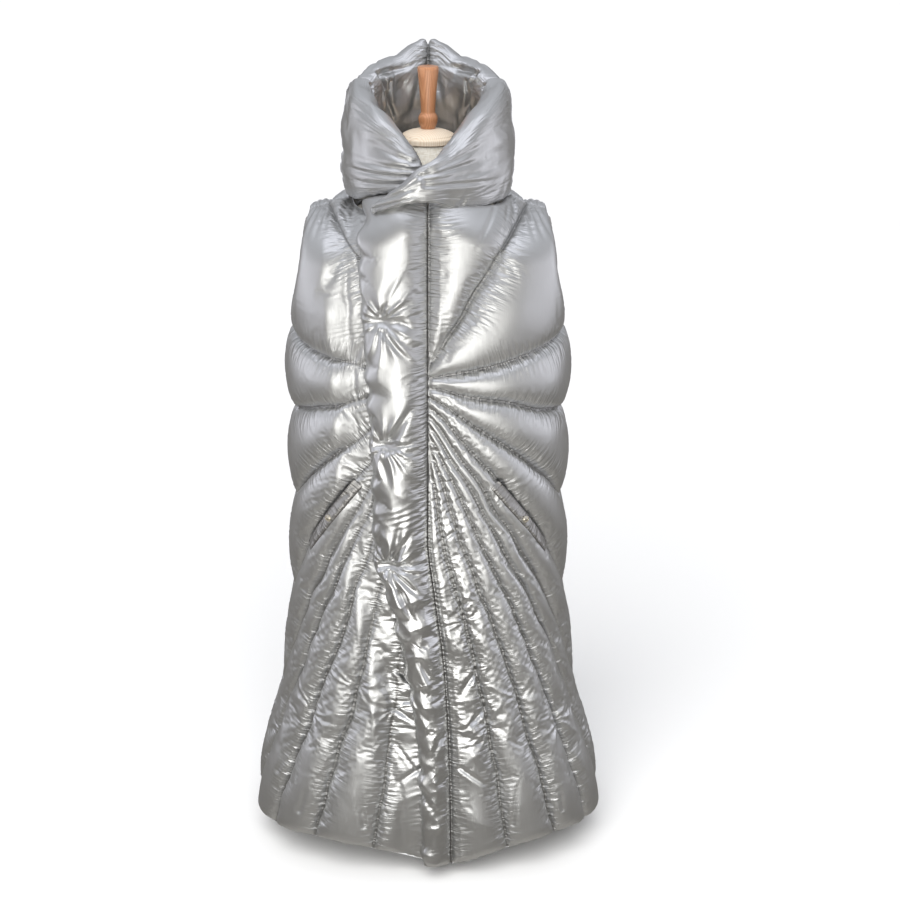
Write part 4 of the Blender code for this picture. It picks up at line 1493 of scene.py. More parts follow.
@dataclass
class Hood:
    """The hood's two halves and the two flaps that cross in front."""

    half_width: float = 0.1250
    back_depth: float = 0.108
    front_depth: float = 0.134
    lean: float = 0.055
    lean_from: float = 1.380
    squareness: float = 3.3
    sides: int = 110
    ring_spacing: float = 0.0042
    end_round: float = 0.016
    end_share: float = 0.30
    sewn_share: float = -0.93  # below this share of half its height a section is sewn to the neck
    end_dip: float = 0.012  # how far the top edge sinks at a piece's end
    swell: float = 0.0014
    swell_length: float = 0.075
    free_reach: float = 0.007  # how far the filling may move the cloth
    end_gather: float = 0.0025
    end_gather_spacing: float = 0.014
    foot_gather: float = 0.0028
    foot_gather_spacing: float = 0.016
    crinkle: float = 0.0007
    crinkle_size: float = 0.04
    fine_gather: float = 0.040  # how far the finish's folds reach from a piece's end
    pieces: list[WallPiece] = field(default_factory=list)

    def layout(self) -> list[WallPiece]:
        """The four pieces."""
        back = table(
            WALL_COLUMNS,
            (0, 1.3015, 1.543, 0.036, 0.000),
            (10, 1.3010, 1.537, 0.044, 0.000),
            (28, 1.3000, 1.516, 0.044, 0.000),
            (52, 1.2882, 1.502, 0.047, 0.000),
            (76, 1.2850, 1.484, 0.048, 0.000),
        )
        crossing = table(
            WALL_COLUMNS,
            (76, 1.2850, 1.484, 0.052, 0.000),
            (105, 1.2820, 1.474, 0.052, 0.000),
            (135, 1.2800, 1.448, 0.048, 0.000),
            (155, 1.2850, 1.417, 0.044, 0.002),
            (166, 1.2920, 1.395, 0.040, 0.010),
            (178, 1.3010, 1.374, 0.035, 0.031),
            (186, 1.3020, 1.360, 0.032, 0.037),
            (194, 1.2980, 1.336, 0.028, 0.040),
            (204, 1.2880, 1.312, 0.022, 0.042),
            (214, 1.2800, 1.298, 0.015, 0.042),
        )
        under = table(
            WALL_COLUMNS,
            (76, 1.2850, 1.484, 0.052, 0.000),
            (105, 1.281, 1.474, 0.052, 0.000),
            (135, 1.297, 1.448, 0.046, 0.000),
            (155, 1.309, 1.415, 0.038, 0.000),
            (168, 1.313, 1.386, 0.026, 0.000),
            (176, 1.315, 1.368, 0.016, 0.000),
        )
        hood_inside = table(
            CREASE_COLUMNS,
            (0.128, 1.486, 0.020, 1.500, 0.0130, 0.0060),
            (0.128, 1.484, 0.060, 1.360, 0.0130, 0.0065),
            (0.100, 1.470, 0.110, 1.380, 0.0060, 0.0060),
            (0.020, 1.480, 0.045, 1.400, 0.0060, 0.0070),
            (0.000, 1.430, 0.090, 1.395, 0.0060, 0.0070),
        )
        hood_outside = table(
            CREASE_COLUMNS,
            (0.000, 1.345, 0.100, 1.362, 0.0064, 0.0070),
            (0.000, 1.420, 0.085, 1.448, 0.0056, 0.0080),
            (0.166, 1.330, 0.070, 1.385, 0.0056, 0.0075),
            (0.020, 1.545, 0.045, 1.470, 0.0048, 0.0060),
            (0.060, 1.530, 0.070, 1.460, 0.0048, 0.0065),
            (0.105, 1.515, 0.110, 1.455, 0.0048, 0.0065),
            (0.140, 1.300, 0.120, 1.360, 0.0040, 0.0060),
            (0.060, 1.300, 0.055, 1.350, 0.0040, 0.0060),
        )
        crossing_folds = table(
            CREASE_COLUMNS,
            (0.400, 1.350, 0.225, 1.378, 0.0070, 0.0045),
            (0.396, 1.342, 0.235, 1.352, 0.0077, 0.0042),
            (0.396, 1.334, 0.250, 1.326, 0.0063, 0.0042),
            (0.392, 1.358, 0.280, 1.404, 0.0042, 0.0048),
            (0.300, 1.372, 0.235, 1.392, 0.0028, 0.0040),
            (0.166, 1.378, 0.222, 1.384, 0.0042, 0.0050),
            (0.166, 1.345, 0.235, 1.352, 0.0035, 0.0050),
            (0.175, 1.315, 0.250, 1.318, 0.0035, 0.0050),
            (0.465, 1.296, 0.385, 1.344, 0.0056, 0.0028),
            (0.460, 1.288, 0.395, 1.322, 0.0049, 0.0026),
            (0.470, 1.302, 0.400, 1.358, 0.0035, 0.0028),
            (0.172, 1.480, 0.225, 1.445, 0.0042, 0.0050),
            (0.200, 1.478, 0.235, 1.430, 0.0024, 0.0045),
        )
        under_folds = table(
            CREASE_COLUMNS,
            (0.372, 1.352, 0.215, 1.365, 0.0072, 0.0045),
            (0.370, 1.340, 0.205, 1.343, 0.0065, 0.0042),
            (0.366, 1.328, 0.230, 1.318, 0.0052, 0.0042),
            (0.372, 1.364, 0.285, 1.398, 0.0039, 0.0048),
            (0.166, 1.356, 0.245, 1.368, 0.0052, 0.0048),
            (0.170, 1.342, 0.225, 1.338, 0.0039, 0.0045),
            (0.175, 1.395, 0.225, 1.405, 0.0023, 0.0050),
            (0.180, 1.320, 0.240, 1.312, 0.0033, 0.0050),
        )
        flap_inside = table(
            CREASE_COLUMNS,
            (0.190, 1.470, 0.255, 1.360, 0.0100, 0.0055),
            (0.240, 1.450, 0.300, 1.350, 0.0080, 0.0055),
            (0.300, 1.420, 0.340, 1.340, 0.0060, 0.0050),
        )
        hood, over, below = (
            (back, hood_outside, hood_inside),
            (crossing, crossing_folds, flap_inside),
            (under, under_folds, flap_inside),
        )
        return [
            WallPiece("hood_left_down", "hood_left", Side.LEFT, *hood),
            WallPiece("hood_right_down", "hood_right", Side.RIGHT, *hood),
            WallPiece("crossing_flap_down", "collar_flap_left", Side.LEFT, *over),
            WallPiece("under_flap_down", "collar_flap_right", Side.RIGHT, *below),
        ]

    def rings(self, piece: WallPiece) -> tuple[Array, Array, Array]:
        """A piece's rings of points before it is filled.

        Its section is a superellipse, |u|^p + |v|^p = 1, as high and thick as the rows say, on
        an oval path. It leans in as it rises and shrinks to a rounded end at both ends.

        Args:
            piece: the piece.

        Returns:
            The rings, each point's metres round and up, and its share of the section's half
            thickness and half height.
        """
        first, last = piece.rows["turn"][[0, -1]]
        gap = math.degrees(SEAM_GAP / 2 / self.half_width)
        steps = round(math.radians(last - first) * self.half_width / self.ring_spacing)
        turn = np.linspace(first + gap, last - gap, steps + 1)
        theta = np.radians(turn)
        depth = np.where(turn < 90, self.back_depth, self.front_depth)
        sine, cosine, hand = np.sin(theta), np.cos(theta), piece.side.value
        path = np.stack([hand * self.half_width * sine, depth * cosine, 0 * theta], 1)
        outward = normalised(np.stack([hand * sine / self.half_width, cosine / depth, 0 * theta], 1))
        bottom, top, thick, outset = (
            profile(piece.rows, name, turn)[:, None] for name in WALL_COLUMNS.split()[1:]
        )
        from_end = np.minimum(theta - theta[0], theta[-1] - theta) * self.half_width
        full = quarter_round(from_end / self.end_round)[:, None]
        half = thick / 2 * (self.end_share + (1 - self.end_share) * full)
        loop = full_turn(self.sides)
        shape = np.stack([np.cos(loop), np.sin(loop)], 1)
        shape = np.sign(shape) * np.abs(shape) ** (2 / self.squareness)
        top = top - self.end_dip * (1 - full)
        height = (bottom + top) / 2 + (top - bottom) / 2 * shape[:, 1]
        flat = np.stack([np.broadcast_to((theta * self.half_width)[:, None], height.shape), height], -1)
        swell = self.swell * rolling(flat, self.swell_length, seed=len(piece.name))
        off = outset + (half + swell) * shape[:, 0] + self.lean * (self.lean_from - height)
        rings = path[:, None] + outward[:, None] * off[..., None]
        rings[..., 2] = height
        return rings, flat, np.broadcast_to(shape, (*height.shape, 2))

    def build_sheets(self, filling: Filling) -> None:
        """Shapes the four pieces and hands them over to be filled."""
        for piece in self.layout():
            rings, _, share = self.rings(piece)
            points, faces = capped_tube(rings)
            sewn = (share[..., 1] < self.sewn_share).astype(float)
            sewn[[0, -1]] = 1
            pinned = np.concatenate([sewn.ravel(), [1, 1]])
            may_move = np.full(len(points), self.free_reach)
            filling.add(Shell(piece.name, points, faces, pinned, may_move, pressure=2.0))
            self.pieces.append(piece)

    def creases(self, piece: WallPiece, flat: Array, share: Array) -> Array:
        """Height of a piece's folds.

        Sums its listed creases, short gathers at its ends and along its foot, and a
        crinkle. They fade to nothing at its ends and at its top and bottom edges.

        Args:
            piece: the piece.
            flat: each point's metres round and up.
            share: each point's share of the section's half thickness and half height.

        Returns:
            Height at each point.
        """
        plane, out, seed = flat.reshape(-1, 2), share[..., 0].ravel(), len(piece.node)
        run, face = plane[:, 0], np.sign(out)
        outer, inner = creased(plane, piece.outer_creases), creased(plane, piece.inner_creases)
        height = np.where(out > 0, outer, inner)
        ends = np.minimum(run - run.min(), run.max() - run)
        height += self.end_gather * gathered(plane[:, 1], ends, face, self.end_gather_spacing, seed)
        foot = (flat[..., 1] - flat[..., 1].min(1, keepdims=True)).ravel()
        height += self.foot_gather * gathered(run, foot, face, self.foot_gather_spacing, seed + 5)
        height += self.crinkle * crumpled(plane + out[:, None], self.crinkle_size, seed + 3)
        return height * np.clip(np.abs(out) * 1.6, 0, 1) * np.clip(ends / 0.004, 0, 1)

    def build(self, filled: dict[str, Array]) -> None:
        """The four closed pieces, in place of the CAD's.

        Args:
            filled: each sheet's filled points by its name.
        """
        for piece in self.pieces:
            rings, flat, share = self.rings(piece)
            rings = finer(filled[piece.name][:-2].reshape(rings.shape), closed=True)
            flat, share = finer(flat, closed=True), finer(share, closed=True)
            round_it = np.roll(rings, -1, axis=1) - np.roll(rings, 1, axis=1)
            normal = normalised(np.cross(np.gradient(rings, axis=0), round_it))
            normal *= np.sign((normal * (rings - rings.mean(1, keepdims=True))).sum())
            height = self.creases(piece, flat, share).reshape(share.shape[:2])
            points, faces = capped_tube(rings + normal * height[..., None])
            run = np.append(flat[..., 0].ravel(), [0, 0])
            ends = np.abs(np.minimum(run - flat[..., 0].min(), flat[..., 0].max() - run))
            gathering = 0.8 * smooth_step(1 - ends / self.fine_gather)
            values = foil_values(gathering, ends + 0.004, points[:, 2], np.full(len(points), 0.15))
            body = make_object(piece.name, points, faces, values)
            finish_piece(body, "foil_coated_nylon", piece.node)


# ---- Small sewn pieces ----


@dataclass(frozen=True)
class ArmholeBinding:
    """A rolled binding round each armhole, as a tube along the panels' cut edges."""

    wall: Wall
    radius: float = 0.0055
    clearance: float = 0.0016
    steps: int = 150
    sides: int = 14
    strip_width: float = 0.018  # of the flat strip that is rolled round the cut edges
    pucker: float = 0.0004
    pucker_length: float = 0.009
    rise: float = 0.004  # of its middle off the wall
    smoothings: int = 6  # of its normals, round the corners

    def build(self, side: Side) -> None:
        """One binding: a circle of points carried along the armhole, slightly puckered.

        Args:
            side: the wearer's side.
        """
        down = np.linspace(0, 1, self.steps)
        halves = []
        for face, run in ((Face.FRONT, down), (Face.BACK, down[-2:0:-1])):
            cut = PanelCut(self.wall, face, SEAM_GAP / 2)
            angle, climb = cut.armhole_place(run)
            halves.append(self.wall.place(face, side, angle, climb))
        place, normal = (np.concatenate(half) for half in zip(*halves))
        for _ in range(self.smoothings):
            normal = normalised(normal + np.roll(normal, 1, axis=0) + np.roll(normal, -1, axis=0))
        tangent = normalised(np.roll(place, -1, axis=0) - np.roll(place, 1, axis=0))
        off_edge = normalised(np.cross(normal, tangent)) * side.value
        centre = place + normal * self.rise + off_edge * (self.radius + self.clearance)
        turn = full_turn(self.sides)[None, :, None]
        around = np.cos(turn) * off_edge[:, None] + np.sin(turn) * normal[:, None]
        plain = (centre[:, None] + self.radius * around).reshape(-1, 3)
        wavy = self.pucker * rolling(plain, self.pucker_length, 7)
        rings = centre[:, None] + (self.radius + wavy.reshape(len(centre), -1, 1)) * around
        name = side.name.lower()
        faces = tube_faces(len(centre), self.sides, closed=True)
        piece = make_object(f"armhole_roll_{name}", rings.reshape(-1, 3), faces)
        refine(piece)
        finish_piece(piece, "binding_nylon", f"armhole_binding_{name}")


@dataclass(frozen=True)
class Pocket:
    """A welt along a side ray, laid on the filled panel, with a snap stud in its middle."""

    ray: int = 5
    start: float = 0.335
    end: float = 0.660
    width: float = 0.021
    thickness: float = 0.0030
    below_ray: float = -0.003
    bridging: float = 0.004  # how sharply the band keeps to the highest of what is under it
    bridged: float = 0.007  # how far round a point it feels for what is under it
    clearance: float = 0.0008
    depth: float = 0.002  # under its middle surface
    ripple: float = 0.0005
    ripple_length: float = 0.014
    length_steps: int = 64
    width_steps: int = 9
    stud: Array = rows_field(
        "radius height",
        (0.0064, -0.0010), (0.0066, 0.0012), (0.0062, 0.0024), (0.0052, 0.0027), (0.0047, 0.0021),
        (0.0032, 0.0032), (0.0008, 0.0036),
    )

    def strip(self, sheet: PanelSheet, filled: Array) -> tuple[Array, Array]:
        """The welt's middle surface and its normals, on top of the filled panel.

        Each point's height over the wall is a soft maximum of the panel's near it: the log of the
        mean of exp(height / bridging), weighted by a bell curve, times the bridging.

        Args:
            sheet: the panel's sheet.
            filled: its filled points.

        Returns:
            The surface's places and unit normals, as grids.
        """
        starts, ends = sheet.cut.rays()
        begin, way = starts[self.ray], ends[self.ray] - starts[self.ray]
        length = np.linalg.norm(way)
        way = way / length
        below = np.array([way[1], -way[0]])
        along = np.linspace(self.start, self.end, self.length_steps)[:, None, None] * length
        across = self.below_ray + np.linspace(0, self.width, self.width_steps)[None, :, None]
        plane = (begin + along * way + across * below).reshape(-1, 2)
        angle, climb = sheet.cut.rolled(sheet.plane)
        wall, face, side = sheet.cut.wall, sheet.cut.face, sheet.side
        low, normal = wall.place(face, side, angle, climb)
        high = ((filled - low) * normal).sum(1)
        near = np.exp(-((np.linalg.norm(plane[:, None] - sheet.plane, axis=2) / self.bridged) ** 2))
        mean = (near * np.exp(high / self.bridging)).sum(1) / near.sum(1)
        lift = self.bridging * np.log(mean) + self.clearance
        place, normal = wall.place(face, side, *sheet.cut.rolled(plane))
        shape = (self.length_steps, self.width_steps, 3)
        return (place + normal * lift[:, None]).reshape(shape), normal.reshape(shape)

    def build(self, sheet: PanelSheet, filled: Array) -> None:
        """The welt and its stud.

        Args:
            sheet: the sheet of the panel that they lie on.
            filled: its filled points.
        """
        side = sheet.side.name.lower()
        place, normal = self.strip(sheet, filled)
        u = np.linspace(-1, 1, self.width_steps)[None, :]
        v = np.linspace(-1, 1, self.length_steps)[:, None]
        full = ((1 - np.abs(u) ** 3.5) * (1 - np.abs(v) ** 12))[..., None]
        ripple = self.ripple * rolling(place.reshape(-1, 3), self.ripple_length, 9)
        top = place + normal * (full * (self.thickness + ripple.reshape(full.shape)))
        under = place - normal * self.depth * full
        points, faces = closed_grid(top.reshape(-1, 3), under.reshape(-1, 3), *full.shape[:2])
        edge = np.broadcast_to((1 - np.abs(u)) * self.width / 2, full.shape[:2])
        run = np.broadcast_to((v + 1) / 10, full.shape[:2])
        half, none = np.full(len(points), 0.5), np.zeros(len(points))
        # the distance from the welt's edges also places the foil's painted seam shade along them
        values = foil_values(half, np.tile(edge.ravel(), 2), np.tile(run.ravel(), 2), none)
        welt = make_object(f"pocket_band_{side}", points, faces, values)
        refine(welt)
        finish_piece(welt, "pocket_nylon", f"pocket_welt_{side}")
        middle = (self.length_steps // 2, self.width_steps // 2)
        shape = turned(outline(self.stud, 5), top[middle], normal[middle], 40)
        stud = make_object(f"snap_stud_{side}", *shape)
        finish_piece(stud, "stud_brass", f"pocket_stud_{side}")


# ---- Dress form ----


@dataclass
class DressForm:
    """The limbless form: a linen torso, a wooden neck cap and finial, a steel pole and base."""

    wall: Wall
    rest_gap: float = 0.0006
    sides: int = 96
    ring_spacing: float = 0.008
    plate_edge: float = 0.002
    sharp_from: float = 40  # degrees
    chest: Array = rows_field(
        "height half_width depth",
        (0.620, 0.148, 0.104), (0.680, 0.160, 0.116), (0.760, 0.156, 0.113), (0.860, 0.131, 0.098),
        (0.940, 0.126, 0.096), (1.030, 0.145, 0.108), (1.110, 0.162, 0.112), (1.170, 0.178, 0.098),
        (1.210, 0.187, 0.082),
    )
    shoulders: Array = rows_field(
        "height depth", (1.234, 0.068), (1.240, 0.064), (1.248, 0.060), (1.257, 0.057)
    )
    neck: Array = rows_field(
        "height half_width depth",
        (1.2720, 0.073, 0.057), (1.2900, 0.060, 0.055), (1.3300, 0.053, 0.053),
        (1.3725, 0.047, 0.047),
    )
    cap: Array = rows_field(
        "radius height",
        (0.0480, 1.3728), (0.0508, 1.3745), (0.0510, 1.3775), (0.0510, 1.3820), (0.0495, 1.3845),
        (0.0468, 1.3855), (0.0462, 1.3868), (0.0440, 1.3890), (0.0340, 1.3935), (0.0200, 1.3968),
        (0.0130, 1.3975),
    )
    finial: Array = rows_field(
        "radius height",
        (0.0130, 1.3978), (0.0138, 1.4010), (0.0160, 1.4070), (0.0173, 1.4130), (0.0168, 1.4185),
        (0.0140, 1.4235), (0.0127, 1.4262), (0.0130, 1.4330), (0.0140, 1.4500), (0.0154, 1.4660),
        (0.0168, 1.4800), (0.0184, 1.4960), (0.0188, 1.5000), (0.0186, 1.5035), (0.0172, 1.5060),
        (0.0120, 1.5070),
    )

    def shoulder_half_width(self, height: float) -> float:
        """Where the form's shoulder line is at a height, just under the vest's."""
        x = np.linspace(0.07, 0.20, 400)
        return float(np.interp(-height, -(self.wall.ridge_height(x) - self.rest_gap), x))

    def torso(self) -> tuple[Array, Array]:
        """Oval rings from the chest over the shoulders to the neck.

        Returns:
            The torso's points and triangles.
        """
        rows = [tuple(row) for row in self.chest]
        rows += [(height, self.shoulder_half_width(height), depth) for height, depth in self.shoulders]
        rows = table("height half_width depth", *rows, *(tuple(row) for row in self.neck))
        height = spaced(rows["height"][:, None], self.ring_spacing)[:, 0]
        height = np.unique(np.concatenate([height, rows["height"]]))
        width, depth = (
            np.interp(height, rows["height"], rows[name])[:, None] for name in ("half_width", "depth")
        )
        turn = full_turn(self.sides)
        rings = [width * np.cos(turn), depth * np.sin(turn), height[:, None] + 0 * turn]
        return capped_tube(np.stack(rings, axis=-1))

    def build(self) -> None:
        """Every piece of the form, in place of the CAD's. The pole and the plate are as large as there."""
        low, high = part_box("form_pole")
        pole = table("radius height", (high[0], low[2]), (high[0], high[2]))
        low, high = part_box("form_base")
        plate = table(
            "radius height",
            (high[0], low[2]),
            (high[0], high[2] - self.plate_edge),
            (high[0] - self.plate_edge, high[2]),
        )
        pieces = [("torso_linen", "form_torso", "form_linen", self.torso())]
        for name, node, slot, rows, steps, sides in (
            ("neck_cap_pine", "form_neck_cap", "pale_pine", self.cap, 4, 96),
            ("finial_beech", "form_finial", "orange_beech", self.finial, 4, 64),
            ("pole_tube", "form_pole", "pole_steel", pole, 1, 48),
            ("base_plate", "form_base", "pole_steel", plate, 1, 96),
        ):
            shape = turned(outline(rows, steps), np.zeros(3), np.array([0.0, 0.0, 1.0]), sides)
            pieces.append((name, node, slot, shape))
        for name, node, slot, shape in pieces:
            piece = make_object(name, *shape)
            piece.data.set_sharp_from_angle(angle=math.radians(self.sharp_from))
            finish_piece(piece, slot, node)


# ---- Finishes ----


def linear(colour: str) -> tuple[float, float, float, float]:
    """An sRGB hex colour as linear red, green, blue and alpha."""
    parts = [int(colour[i : i + 2], 16) / 255 for i in (1, 3, 5)]
    return (*(c / 12.92 if c <= 0.04045 else ((c + 0.055) / 1.055) ** 2.4 for c in parts), 1.0)


def fill_in(node: Node, inputs: dict) -> None:
    """Sets a node's sockets, by name or number, to values or links them to other sockets."""
    for key, value in inputs.items():
        if isinstance(value, Socket):
            node.id_data.links.new(value, node.inputs[key])
        else:
            node.inputs[key].default_value = value


def add(
    tree: Tree, kind: str, inputs: dict | None = None, **settings: object
) -> Node:
    """Adds a shader node.

    Args:
        tree: the material's nodes.
        kind: the node's type, without its prefix.
        inputs: by socket name or number, the value it is set to or the socket linked to it.
        settings: the node's own properties.

    Returns:
        The node.
    """
    node = tree.nodes.new("ShaderNode" + kind)
    for key, value in settings.items():
        setattr(node, key, value)
    fill_in(node, inputs or {})
    return node


def times(tree: Tree, first: object, second: object) -> Socket:
    """The product of two sockets or numbers."""
    return add(tree, "Math", {0: first, 1: second}, operation="MULTIPLY").outputs[0]


def noise(tree: Tree, at: object, scale: float, detail: float) -> Socket:
    """Cloudy noise, 0 to 1, at places scaled to its size."""
    return add(tree, "TexNoise", {"Vector": at, "Scale": scale, "Detail": detail}).outputs["Fac"]


def stretched(tree: Tree, scale: tuple, **more: tuple) -> Socket:
    """The object's own coordinates, scaled by axis."""
    place = add(tree, "TexCoord").outputs["Object"]
    return add(tree, "Mapping", {"Vector": place, "Scale": scale, **more}).outputs[0]


def bump(tree: Tree, height: object, distance: float, **below: object) -> Socket:
    """A normal bent by a height of 0 to 1 times a distance, on another one if that is given."""
    return add(tree, "Bump", {"Height": height, "Distance": distance, **below}).outputs[0]


def blend(tree: Tree, share: object, first: object, second: object) -> Socket:
    """Two colours mixed by a share."""
    return add(tree, "Mix", {0: share, 6: first, 7: second}, data_type="RGBA").outputs[2]


def new_material(name: str) -> tuple[Material, Tree, Node]:
    """An empty material, its nodes and its shader."""
    made = bpy.data.materials.new(name)
    made.use_nodes = True
    return made, made.node_tree, made.node_tree.nodes["Principled BSDF"]


@dataclass(frozen=True)
class FoilNylon:
    """Thin nylon with a foil coating: it mirrors like brushed metal and keeps every crease.

    Close to a seam the stitching gathers it into fine folds that run across the seam. Where it
    is crushed it has the small sharp facets of crumpled foil, and all over it has hair-fine
    streaks along its threads.
    """

    name: str
    colour: str
    # painted shade: the darker colour mixed in along each seam's valley
    seam_shade_colour: str
    roughness: float = 0.41
    crushed_roughness: float = 0.29
    fold_spacing: float = 0.0052
    fold_length: float = 0.040
    fold_height: float = 0.0012
    facet_size: float = 0.030
    facet_height: float = 0.0004
    least_facets: float = 0.08  # share of the facets' height where the foil is smooth
    streak_width: float = 0.0016  # the real threads are 0.2 mm apart; drawn coarse enough to show
    streak_length: float = 18  # in widths
    streak_height: float = 0.00010
    # painted shade: full within this distance of a seam, and gone by four times it
    seam_shade_width: float = 0.0009

    def build(self) -> Material:
        """The material."""
        made, tree, shader = new_material(self.name)
        run, off, crumple, gathering = (
            add(tree, "Attribute", attribute_name=name).outputs["Fac"]
            for name in ("seam_run", "seam_distance", "crumple", "gathering")
        )
        along, across = times(tree, run, 1 / self.fold_spacing), times(tree, off, 1 / self.fold_length)
        folds = noise(tree, add(tree, "CombineXYZ", {0: along, 1: across}).outputs[0], 1.0, 1.5)
        risen = {0: folds, 1: 0.34, 2: 0.66}
        folds = add(tree, "MapRange", risen, interpolation_type="SMOOTHSTEP").outputs[0]
        folds = times(tree, folds, gathering)
        crumpled_foil = {
            "Vector": add(tree, "TexCoord").outputs["Object"],
            "Scale": 1 / self.facet_size,
            "Detail": 2.0,
            "Roughness": 0.45,
            "Distortion": 0.4,
        }
        facets = add(tree, "TexNoise", crumpled_foil, noise_type="RIDGED_MULTIFRACTAL").outputs["Fac"]
        share = add(tree, "MapRange", {0: crumple, 1: 0.0, 2: 1.0, 3: self.least_facets, 4: 1.0}).outputs[0]
        thread = 1 / self.streak_width
        streaks = noise(tree, stretched(tree, (thread, thread, thread / self.streak_length)), 1.0, 2.0)
        relief = bump(tree, times(tree, facets, share), self.facet_height)
        relief = bump(tree, folds, self.fold_height, Normal=relief)
        relief = bump(tree, streaks, self.streak_height, Normal=relief)
        # painted shade: the colour darkens along each seam's valley, 0.6 of the way to the seam shade colour
        # at the seam
        near = {0: off, 1: self.seam_shade_width, 2: 4 * self.seam_shade_width, 3: 0.6, 4: 0.0}
        seam_shade_share = add(tree, "MapRange", near).outputs[0]
        smooth = {0: streaks, 1: 0.3, 2: 0.7, 3: self.roughness - 0.04, 4: self.roughness + 0.06}
        gloss = {0: crumple, 2: add(tree, "MapRange", smooth).outputs[0], 3: self.crushed_roughness}
        look = {
            "Base Color": blend(tree, seam_shade_share, linear(self.colour), linear(self.seam_shade_colour)),
            "Roughness": add(tree, "Mix", gloss).outputs[0],
            "Metallic": 0.96,
            "Normal": relief,
        }
        fill_in(shader, look)
        return made


@dataclass(frozen=True)
class PlainNylon:
    """Foil nylon cut on the cross and rolled into a binding: paler and less mirror-like."""

    name: str = "binding_nylon"
    colour: str = "#C4C0BB"
    roughness: float = 0.40
    rib_spacing: float = 0.0028
    rib_height: float = 0.0004

    def build(self) -> Material:
        """The material."""
        made, tree, shader = new_material(self.name)
        ribs = noise(tree, add(tree, "TexCoord").outputs["Object"], 1 / self.rib_spacing, 1.0)
        look = {
            "Base Color": linear(self.colour),
            "Roughness": self.roughness,
            "Metallic": 0.85,
            "Normal": bump(tree, ribs, self.rib_height),
        }
        fill_in(shader, look)
        return made


@dataclass(frozen=True)
class Linen:
    """Plain woven linen drawn over the form: matt, with slubby threads at right angles."""

    name: str = "form_linen"
    colour: str = "#F0ECE3"
    thread_colour: str = "#DAD3C4"
    thread_spacing: float = 0.0012  # real linen has 0.5 mm; drawn coarse enough to show
    thread_length: float = 14  # of a thread's slubs, in spacings
    thread_height: float = 0.0003

    def build(self) -> Material:
        """The material."""
        made, tree, shader = new_material(self.name)
        fine, long = 1 / self.thread_spacing, 1 / (self.thread_length * self.thread_spacing)
        threads = (stretched(tree, scale) for scale in ((long, long, fine), (fine, fine, long)))
        weave = times(tree, *(noise(tree, thread, 1.0, 1.0) for thread in threads))
        share = add(tree, "MapRange", {0: weave, 1: 0.15, 2: 0.40}).outputs[0]
        look = {
            "Base Color": blend(tree, share, linear(self.thread_colour), linear(self.colour)),
            "Roughness": 0.9,
            "Sheen Weight": 0.15,
            "Normal": bump(tree, weave, self.thread_height),
        }
        fill_in(shader, look)
        return made


@dataclass(frozen=True)
class Wood:
    """Turned wood under a thin satin varnish: growth rings cut lengthwise, and fine pores."""

    name: str
    colour: str
    ring_colour: str
    ring_spacing: float
    roughness: float
    varnish: float
    pores: tuple[float, float, float] = (2500, 2500, 120)  # how many to a metre, by axis
    pore_depth: float = 0.00008

    def build(self) -> Material:
        """The material."""
        made, tree, shader = new_material(self.name)
        grain = {
            "Vector": stretched(tree, (1, 0.6, 0.09), Location=(0.03, 0.05, 0)),
            "Scale": 1 / (3.2 * self.ring_spacing),
            "Distortion": 3.0,
            "Detail": 2.0,
            "Detail Scale": 1.2,
        }
        rings = add(tree, "TexWave", grain, wave_type="RINGS", rings_direction="Z").outputs["Fac"]
        pores = noise(tree, stretched(tree, self.pores), 1.0, 1.0)
        ringed = times(tree, rings, pores)
        look = {
            "Base Color": blend(tree, ringed, linear(self.colour), linear(self.ring_colour)),
            "Roughness": self.roughness,
            "Coat Weight": self.varnish,
            "Coat Roughness": 0.25,
            "Normal": bump(tree, pores, self.pore_depth),
        }
        fill_in(shader, look)
        return made


@dataclass(frozen=True)
class Metal:
    """Plain metal, finely brushed or plated, with a slight cloudiness in its gloss."""

    name: str
    colour: str
    roughness: float
    brush: tuple[float, float, float]

    def build(self) -> Material:
        """The material."""
        made, tree, shader = new_material(self.name)
        marks = noise(tree, stretched(tree, self.brush), 1.0, 2.0)
        cloudy = {0: marks, 1: 0.3, 2: 0.7, 3: self.roughness - 0.06, 4: self.roughness + 0.08}
        rough = add(tree, "MapRange", cloudy).outputs[0]
        fill_in(shader, {"Base Color": linear(self.colour), "Roughness": rough, "Metallic": 1.0})
        return made


FINISHES = (
    # the second colour of each foil is the painted shade mixed in along its seams' valleys
    FoilNylon("foil_coated_nylon", "#CECECD", "#757370"),
    FoilNylon("pocket_nylon", "#ABA9A6", "#5F5D5A", facet_height=0.0003),
    PlainNylon(),
    Linen(),
    Wood("pale_pine", "#E8DAC6", "#D0B596", ring_spacing=0.0035, roughness=0.5, varnish=0.15),
    Wood("orange_beech", "#BC8660", "#925C38", ring_spacing=0.0025, roughness=0.42, varnish=0.35),
    Metal("stud_brass", "#DDD6C6", roughness=0.30, brush=(700, 700, 700)),
    Metal("pole_steel", "#C2C3C4", roughness=0.32, brush=(900, 900, 40)),
)
MATERIALS: dict[str, Material] = {}


# ---- Studio ----


